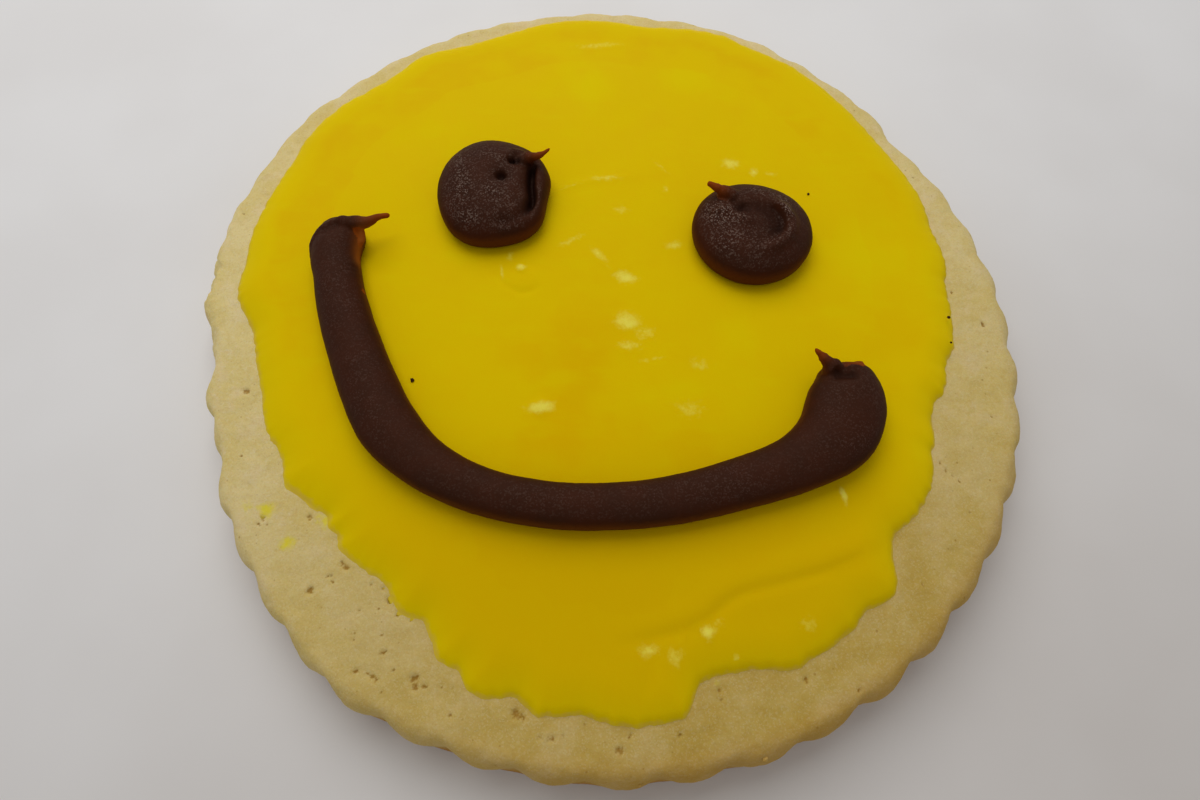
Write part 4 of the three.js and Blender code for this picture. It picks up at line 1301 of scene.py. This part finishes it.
def icing_rise(depth, bearing):
    """Height of the skin over the biscuit, by how far inside its edge a place lies. It starts
    at a slope, a little outside the edge and under the crumb, so that no wall shows."""
    blunt = 1 - np.minimum(depth / ICING["rim_reach"], 1)
    behind = 1 - np.clip(depth / round_table(ICING["swell"], bearing), 0, 1)
    rim = round_table(ICING["rim_height"], bearing)
    rise = rim * (1 - blunt ** 2) + (ICING["thickness"] - rim) * (1 - behind ** 2)
    return np.maximum(rise, -ICING["sunk"])


def depth_inside(x, y, outline):
    """Distance of each place from the nearest point of an outline round it, with a limit."""
    points = KDTree(len(outline))
    for k, point in enumerate(outline):
        points.insert((*point, 0), k)
    points.balance()
    return np.array([min(points.find((a, b, 0))[2], ICING["depth_most"])
                     for a, b in zip(x, y)])


def icing_mesh(ripple):
    """The poured skin: a fine top that follows the biscuit, a low ragged edge, and a plain
    underside sunk a little into the biscuit."""
    c = ICING
    full = int(round(TURN * c["mean_radius"] / c["pitch"]))
    bearing = np.arange(full) * TURN / full
    rim = np.column_stack([np.cos(bearing), np.sin(bearing), 0 * bearing])
    reach = icing_radius(bearing) + (round_table(c["spread"], bearing) + c["fray"] * value_noise(
        rim * c["mean_radius"], c["fray_span"], 3))
    closed, closed_reach = np.append(bearing, TURN), np.append(reach, reach[0])

    def ring(count, share, inset, sunk):
        at = np.arange(count) * TURN / count
        radius = (np.interp(at, closed, closed_reach) - inset) * share
        x, y = radius * np.cos(at), radius * np.sin(at)
        return np.column_stack([x, y, biscuit_top(x, y) - sunk])

    rings = [ring(size, share, 0, c["sunk"])
             for size, share in [*c["hidden_rings"], (full, 0.97)]]
    hidden = 1 + sum(len(one) for one in rings)
    rings += [ring(full, 1, inset, 0) for inset in c["edge_steps"]]
    count = int((c["top_radius"] - c["edge_steps"][-1]) / c["pitch"])
    for k in range(count - 1, 0, -1):
        size = max(6, int(round(full * k / count / 6)) * 6)
        rings.append(ring(size, k / count, c["edge_steps"][-1], 0))
    places, faces = skin((0, 0, biscuit_top(0, 0) - c["sunk"]), rings, (0, 0, biscuit_top(0, 0)))

    x, y = places[:, :2].T
    at = np.arctan2(y, x)
    radial = np.interp(at % TURN, closed, closed_reach) - np.hypot(x, y)
    fine = np.linspace(0, TURN, 4 * full, endpoint=False)
    far = np.interp(fine, closed, closed_reach)
    depth = radial.copy()
    near = (radial > 0) & (radial < c["depth_search"]) & (np.arange(len(places)) >= hidden)
    depth[near] = depth_inside(x[near], y[near],
                               np.column_stack([far * np.cos(fine), far * np.sin(fine)]))
    places[hidden:, 2] += icing_rise(depth[hidden:], at[hidden:])
    above = smoothstep(0.2, c["thickness"], places[:, 2] - biscuit_top(x, y))
    slow = value_noise(np.column_stack([x, y, 0 * x]), c["ripple_span"], 8, 2)
    relief = (ripple * slow + crease_relief(x, y, ICING_CREASES)
              + spot_relief(x, y, BLISTERS, 3))
    places[:, 2] += above * relief
    mesh = mesh_of("poured_icing", places, faces)

    # The edge is a clear film where it is feathered, mostly at the front.
    store(mesh, "film", np.clip(round_table(c["film"], at)
                                * np.exp(-np.clip(depth, 0, None) / c["film_reach"]), 0, 1))
    store(mesh, "verge", np.clip(1 - depth / round_table(c["verge"], at), 0, 1))
    # Painted shade towards the front.
    store(mesh, "front", smoothstep(*c["front"], y))
    store(mesh, "fleck", soft_patches(x, y, FLECKS).max(0))
    # A slightly thicker bead of icing lies a little way in from the edge, round the back.
    inset, half_width, strength = c["bead"]
    bead = np.exp(-((depth - inset) / half_width) ** 2) \
        * smoothstep(-0.5, 0.2, y / c["mean_radius"])
    # Tone for thickness, with painted shade among the darker patches.
    store(mesh, "tone", np.clip(soft_patches(x, y, TONES_AND_SHADE).sum(0) - strength * bead, -1, 1))
    return mesh


def crumb(bumps, place, radius):
    """One small angular crumb at a place."""
    ball = bmesh.new()
    bmesh.ops.create_icosphere(ball, subdivisions=1, radius=1.0)
    for vertex in ball.verts:
        vertex.co *= bumps.uniform(0.65, 1.2)
        vertex.co.z *= 0.7
        vertex.co = vertex.co * (radius * MM) + Vector(place) * MM
    mesh = bpy.data.meshes.new("crumb")
    ball.to_mesh(mesh)
    ball.free()
    return mesh


class COOKIE_OT_specks(bpy.types.Operator):
    """Drops the few dark crumbs that are caught on the yellow icing"""
    bl_idname = "cookie.specks"
    bl_label = "Dark crumbs"

    def execute(self, context):
        bumps = np.random.default_rng(4)
        crumbs = [crumb(bumps, (x, y, float(icing_top(x, y)) + 0.4 * radius), radius)
                  for x, y, radius in SPECKS]
        icing = (bpy.data.materials.get("Chocolate buttercream")
                 or piped_chocolate(context.scene.cookie_chocolate))
        finished("dark_crumbs", joined("dark_crumbs", crumbs), icing,
                 smooth=False)
        return {"FINISHED"}


class COOKIE_OT_yellow_icing(bpy.types.Operator):
    """Pours the yellow icing, with its ragged edge, ripples and pale flecks"""
    bl_idname = "cookie.yellow_icing"
    bl_label = "Yellow icing"

    def execute(self, context):
        chosen = context.scene.cookie_icing
        mesh = icing_mesh(chosen.ripple_height / MM)
        finished("poured_icing", mesh, poured_icing(chosen), "yellow_icing")
        return {"FINISHED"}


# ---------------------------------------------------------------- the chocolate icing


def swept(name, line, side, crest, foot, tree, sides, squareness):
    """A piped body along a line, from half-widths across it and heights above and below."""
    count = len(line)
    path = mesh_of(name, line, [], [(k, k + 1) for k in range(count - 1)])
    for label, values in (("side", side), ("crest", crest), ("foot", foot)):
        store(path, label, np.asarray(values) * MM)
    return settled(path, [(tree, {"Sides": sides, "Foot squareness": squareness})])


def horn(name, shape, tree):
    """A peak or tail drawn out of the icing, from its root to its tip."""
    line = smooth_line([(*p, r) for p, r in zip(shape["points"], shape["radii"])], HORN_STEPS, 3)
    middle, radius = line[:, :3], line[:, 3].copy()
    radius *= 1 + shape["ragged"] * value_noise(middle, 0.5, 2)
    radius[[0, -1]] = 0
    radius[1] *= 0.6
    radius[-2] *= 0.6
    ahead = headings(middle)
    across = np.cross(ahead, (0, 0, 1.0))
    across /= np.linalg.norm(across, axis=1)[:, None]
    up = np.cross(across, ahead)
    size = radius[:, None]
    return swept(name, middle, across * size, up * size, -up * size, tree, HORN_SIDES, 2.0)


def thinness(places, horns):
    """How thin each point is along a peak or tail, which lets the light through."""
    result = np.zeros(len(places))
    for shape in horns:
        line = smooth_line(shape["points"], CREASE_STEPS, 3)
        away, share = nearest_on_line(places, line)
        near = away < 1.35 * np.interp(share, np.linspace(0, 1, len(shape["radii"])),
                                       shape["radii"]) + 0.12
        result = np.maximum(result, near * smoothstep(shape.get("thin_from", 0.3) - 0.1, 1.0,
                                                      share))
    return result


def set_icing(name, parts, voxel, chosen, icing):
    """Joins piped parts into one body with blended roots, and raises its grain."""
    return settled(joined(name, parts), [
        ("REMESH", {"mode": "VOXEL", "voxel_size": voxel, "adaptivity": 0.0}),
        ("SMOOTH", {"factor": 0.5, "iterations": 4}),
        (icing_grain_tree(), {"Grain height": chosen.grain_height,
                              "Swell height": chosen.swell_height, "Material": icing}),
    ])


def darkness(relief, at_none, each_millimetre):
    """How much painted shade a groove gets, from its relief, which is below 0 in a groove."""
    return np.clip(at_none - each_millimetre * relief, 0, DARKEST)


def dot_relief(shape, x, y):
    """Height that a dot's creases and hollows add at each place."""
    hollows = [(hx, hy, r, -depth) for hx, hy, r, depth in shape["hollows"]]
    return crease_relief(x, y, shape["creases"]) + spot_relief(x, y, hollows, 3)


def dot_mesh(name, shape):
    """A squat dome with its relief, sunk a little into the icing under it."""
    d = DOT
    cx, cy = shape["centre"]
    base = icing_top(cx, cy)
    turn = np.arange(d["columns"]) * TURN / d["columns"]
    reach = shape["radius"] + wavy(shape["waves"], turn) + swollen(shape["swellings"], turn)

    def ring(share, rise, crowned):
        x, y = cx + reach * share * np.cos(turn), cy + reach * share * np.sin(turn)
        z = icing_top(x, y) + rise
        if crowned:
            z += dot_relief(shape, x, y) * smoothstep(*d["relief_shares"], share)
        return np.column_stack([x, y, z])

    belt = d["belt_height"]
    rings = []
    for k in range(d["foot_rings"]):
        angle = math.pi / 2 * (1 - k / d["foot_rings"])
        rings.append(ring(d["foot_share"] + (1 - d["foot_share"]) * math.cos(angle),
                          belt - (belt + d["sunk"]) * math.sin(angle), False))
    for k in range(d["rings"]):
        share, up = rounded(k / d["rings"], d["crown_power"])
        rings.append(ring(share, belt + (shape["height"] - belt) * up, True))
    middle = (cx, cy, float(base + shape["height"]
                            + dot_relief(shape, np.array([cx]), np.array([cy]))[0]))
    return mesh_of(name, *skin((cx, cy, base - d["sunk"]), rings, middle))


class COOKIE_OT_eyes(bpy.types.Operator):
    """Pipes the two eyes, each a dot with the peak drawn out of it"""
    bl_idname = "cookie.eyes"
    bl_label = "Eyes"

    def execute(self, context):
        chosen = context.scene.cookie_chocolate
        icing = piped_chocolate(chosen)
        tree = piped_icing_tree()
        for node, shape in EYES.items():
            name = "piped_" + node
            parts = [dot_mesh(name, shape), horn(name + "_peak", shape["peak"], tree)]
            mesh = set_icing(name, parts, chosen.dot_voxel, chosen, icing)
            store(mesh, "thin", thinness(places_of(mesh), [shape["peak"]]))
            x, y, _ = places_of(mesh).T
            # Painted glints of the sugar, most at their patches.
            everywhere, at_patches, most = DOT["sugared"]
            sugar = everywhere + at_patches * soft_patches(x, y, shape["sugar"]).sum(0)
            store(mesh, "sugared", np.clip(sugar, 0, most))
            # Painted shade in the grooves and hollows.
            store(mesh, "hollow", darkness(dot_relief(shape, x, y), *DOT["dark"]))
            cx, cy = shape["centre"]
            away = np.hypot(x - cx, y - cy) / shape["radius"]
            store(mesh, "inner", smoothstep(*DOT["flank_shares"], away))
            finished(name, mesh, icing, node)
        return {"FINISHED"}


def smile_line(tree):
    """The piped line: a flat foot, a rounded crest, and ends that close."""
    s = SMILE
    line = smooth_line(s["line"], s["steps"], 2)
    plan, width = line[:, :2], line[:, 2]
    steps = np.linalg.norm(np.diff(plan, axis=0), axis=1)
    along = np.concatenate([[0], np.cumsum(steps)])

    def closing(away, reach):
        t = np.minimum(away / reach, 1)
        return np.sqrt(np.clip(1 - (1 - t) ** 2, 0, 1))

    end = closing(along, s["round_start"]) * closing(along[-1] - along, s["round_end"])
    height = (s["height_base"] + s["height_share"] * width) \
        * (s["end_height"] + (1 - s["end_height"]) * end)
    belt = height * s["belt_share"]
    ahead = headings(plan)
    side = np.column_stack([-ahead[:, 1], ahead[:, 0], 0 * width]) * (end * width / 2)[:, None]
    up = np.array([0, 0, 1.0])
    crest, foot = up * (height - belt)[:, None], -up * (belt + s["sunk"])[:, None]
    for values in (side, crest, foot):
        values[[0, -1]] = 0
    middle = np.column_stack([plan, icing_top(*plan.T) + belt])
    return swept("piped_smile", middle, side, crest, foot, tree, s["sides"], s["foot_power"])


class COOKIE_OT_smile(bpy.types.Operator):
    """Pipes the smile, with the tail drawn out at each end"""
    bl_idname = "cookie.smile"
    bl_label = "Smile"

    def execute(self, context):
        chosen = context.scene.cookie_chocolate
        icing = bpy.data.materials.get("Chocolate buttercream") or piped_chocolate(chosen)
        tree = bpy.data.node_groups.get("Piped icing") or piped_icing_tree()
        parts = [smile_line(tree)] + [horn(f"tail_{k}", tail, tree)
                                      for k, tail in enumerate(SMILE["tails"])]
        mesh = set_icing("piped_smile", parts, chosen.line_voxel, chosen, icing)
        places, normals = places_of(mesh), vectors_of(mesh.vertex_normals, "vector")
        x, y, z = places.T
        low = z < icing_top(x, y) + SMILE["crease_top"]
        lift = crease_relief(x, y, SMILE["creases"]) * low * np.clip(normals[:, 2], 0, 1)
        move_to(mesh, places + normals * lift[:, None])
        store(mesh, "thin", thinness(places, SMILE["tails"]))
        store(mesh, "sugared", np.full(len(places), SMILE["sugared"]))
        # Painted shade in the creases.
        store(mesh, "hollow", darkness(lift, *SMILE["dark"]))
        web, reach, strength = SMILE["amber"]
        away, _ = nearest_on_line(places, smooth_line(web, WEB_STEPS, 3))
        store(mesh, "amber", strength * np.exp(-(away / reach) ** 2))
        finished("piped_smile", mesh, icing, "smile")
        return {"FINISHED"}


# ---------------------------------------------------------------- the stage


class COOKIE_OT_stage(bpy.types.Operator):
    """Lays the pale floor and sets the soft light and the camera"""
    bl_idname = "cookie.stage"
    bl_label = "Floor, light and camera"

    def execute(self, context):
        chosen = context.scene.cookie_stage
        scene = context.scene
        corners = [(x * FLOOR_HALF, y * FLOOR_HALF, 0)
                   for x, y in ((-1, -1), (1, -1), (1, 1), (-1, 1))]
        floor_mesh = mesh_of("floor", corners, [(0, 1, 2, 3)])
        floor_mesh.materials.append(matt_board(chosen))
        floor = in_scene("floor", floor_mesh)

        lamp_data = bpy.data.lights.new("soft_lamp", "AREA")
        lamp_data.energy = chosen.light_power
        lamp_data.size = chosen.lamp_size
        lamp = in_scene("soft_lamp", lamp_data)
        lamp.location = Vector(LAMP_PLACE) * MM
        lamp.rotation_euler = (-lamp.location).to_track_quat("-Z", "Y").to_euler()

        world = bpy.data.worlds.new("even_light")
        world.use_nodes = True
        sky = world.node_tree.nodes["Background"]
        sky.inputs["Color"].default_value = linear(SKY_COLOUR)
        sky.inputs["Strength"].default_value = chosen.fill
        scene.world = world

        camera_data = bpy.data.cameras.new("camera")
        camera_data.sensor_width = SENSOR_WIDTH
        camera_data.lens = chosen.focal_length
        camera_data.clip_start = 1 * MM
        camera = in_scene("camera", camera_data)
        camera.location = Vector(CAMERA_PLACE) * MM
        camera.rotation_euler = (math.radians(CAMERA_TILT), 0, 0)
        scene.camera = camera
        scene.view_settings.view_transform = "Standard"
        return {"FINISHED"}


# ---------------------------------------------------------------- panel and registration

OPERATORS = [COOKIE_OT_stage, COOKIE_OT_biscuit, COOKIE_OT_crumbs, COOKIE_OT_yellow_icing,
             COOKIE_OT_eyes, COOKIE_OT_smile, COOKIE_OT_specks]


class COOKIE_PT_panel(bpy.types.Panel):
    """Sizes and colours of the cookie, with a button for each piece"""
    bl_idname = "COOKIE_PT_panel"
    bl_label = "Iced Sugar Cookie"
    bl_space_type = "VIEW_3D"
    bl_region_type = "UI"
    bl_category = "Cookie"

    def draw(self, context):
        for operator in OPERATORS:
            self.layout.operator(operator.bl_idname)
        for name, group in SETTINGS.items():
            box = self.layout.box()
            for key in group.__annotations__:
                box.prop(getattr(context.scene, name), key)


CLASSES = [*SETTINGS.values(), *OPERATORS, COOKIE_PT_panel]


def register():
    for cls in CLASSES:
        bpy.utils.register_class(cls)
    for name, group in SETTINGS.items():
        setattr(bpy.types.Scene, name, bpy.props.PointerProperty(type=group))


def unregister():
    for name in SETTINGS:
        delattr(bpy.types.Scene, name)
    for cls in reversed(CLASSES):
        bpy.utils.unregister_class(cls)


def main():
    register()
    for operator in OPERATORS:
        group, name = operator.bl_idname.split(".")
        getattr(getattr(bpy.ops, group), name)()


if __name__ == "__main__":
    main()
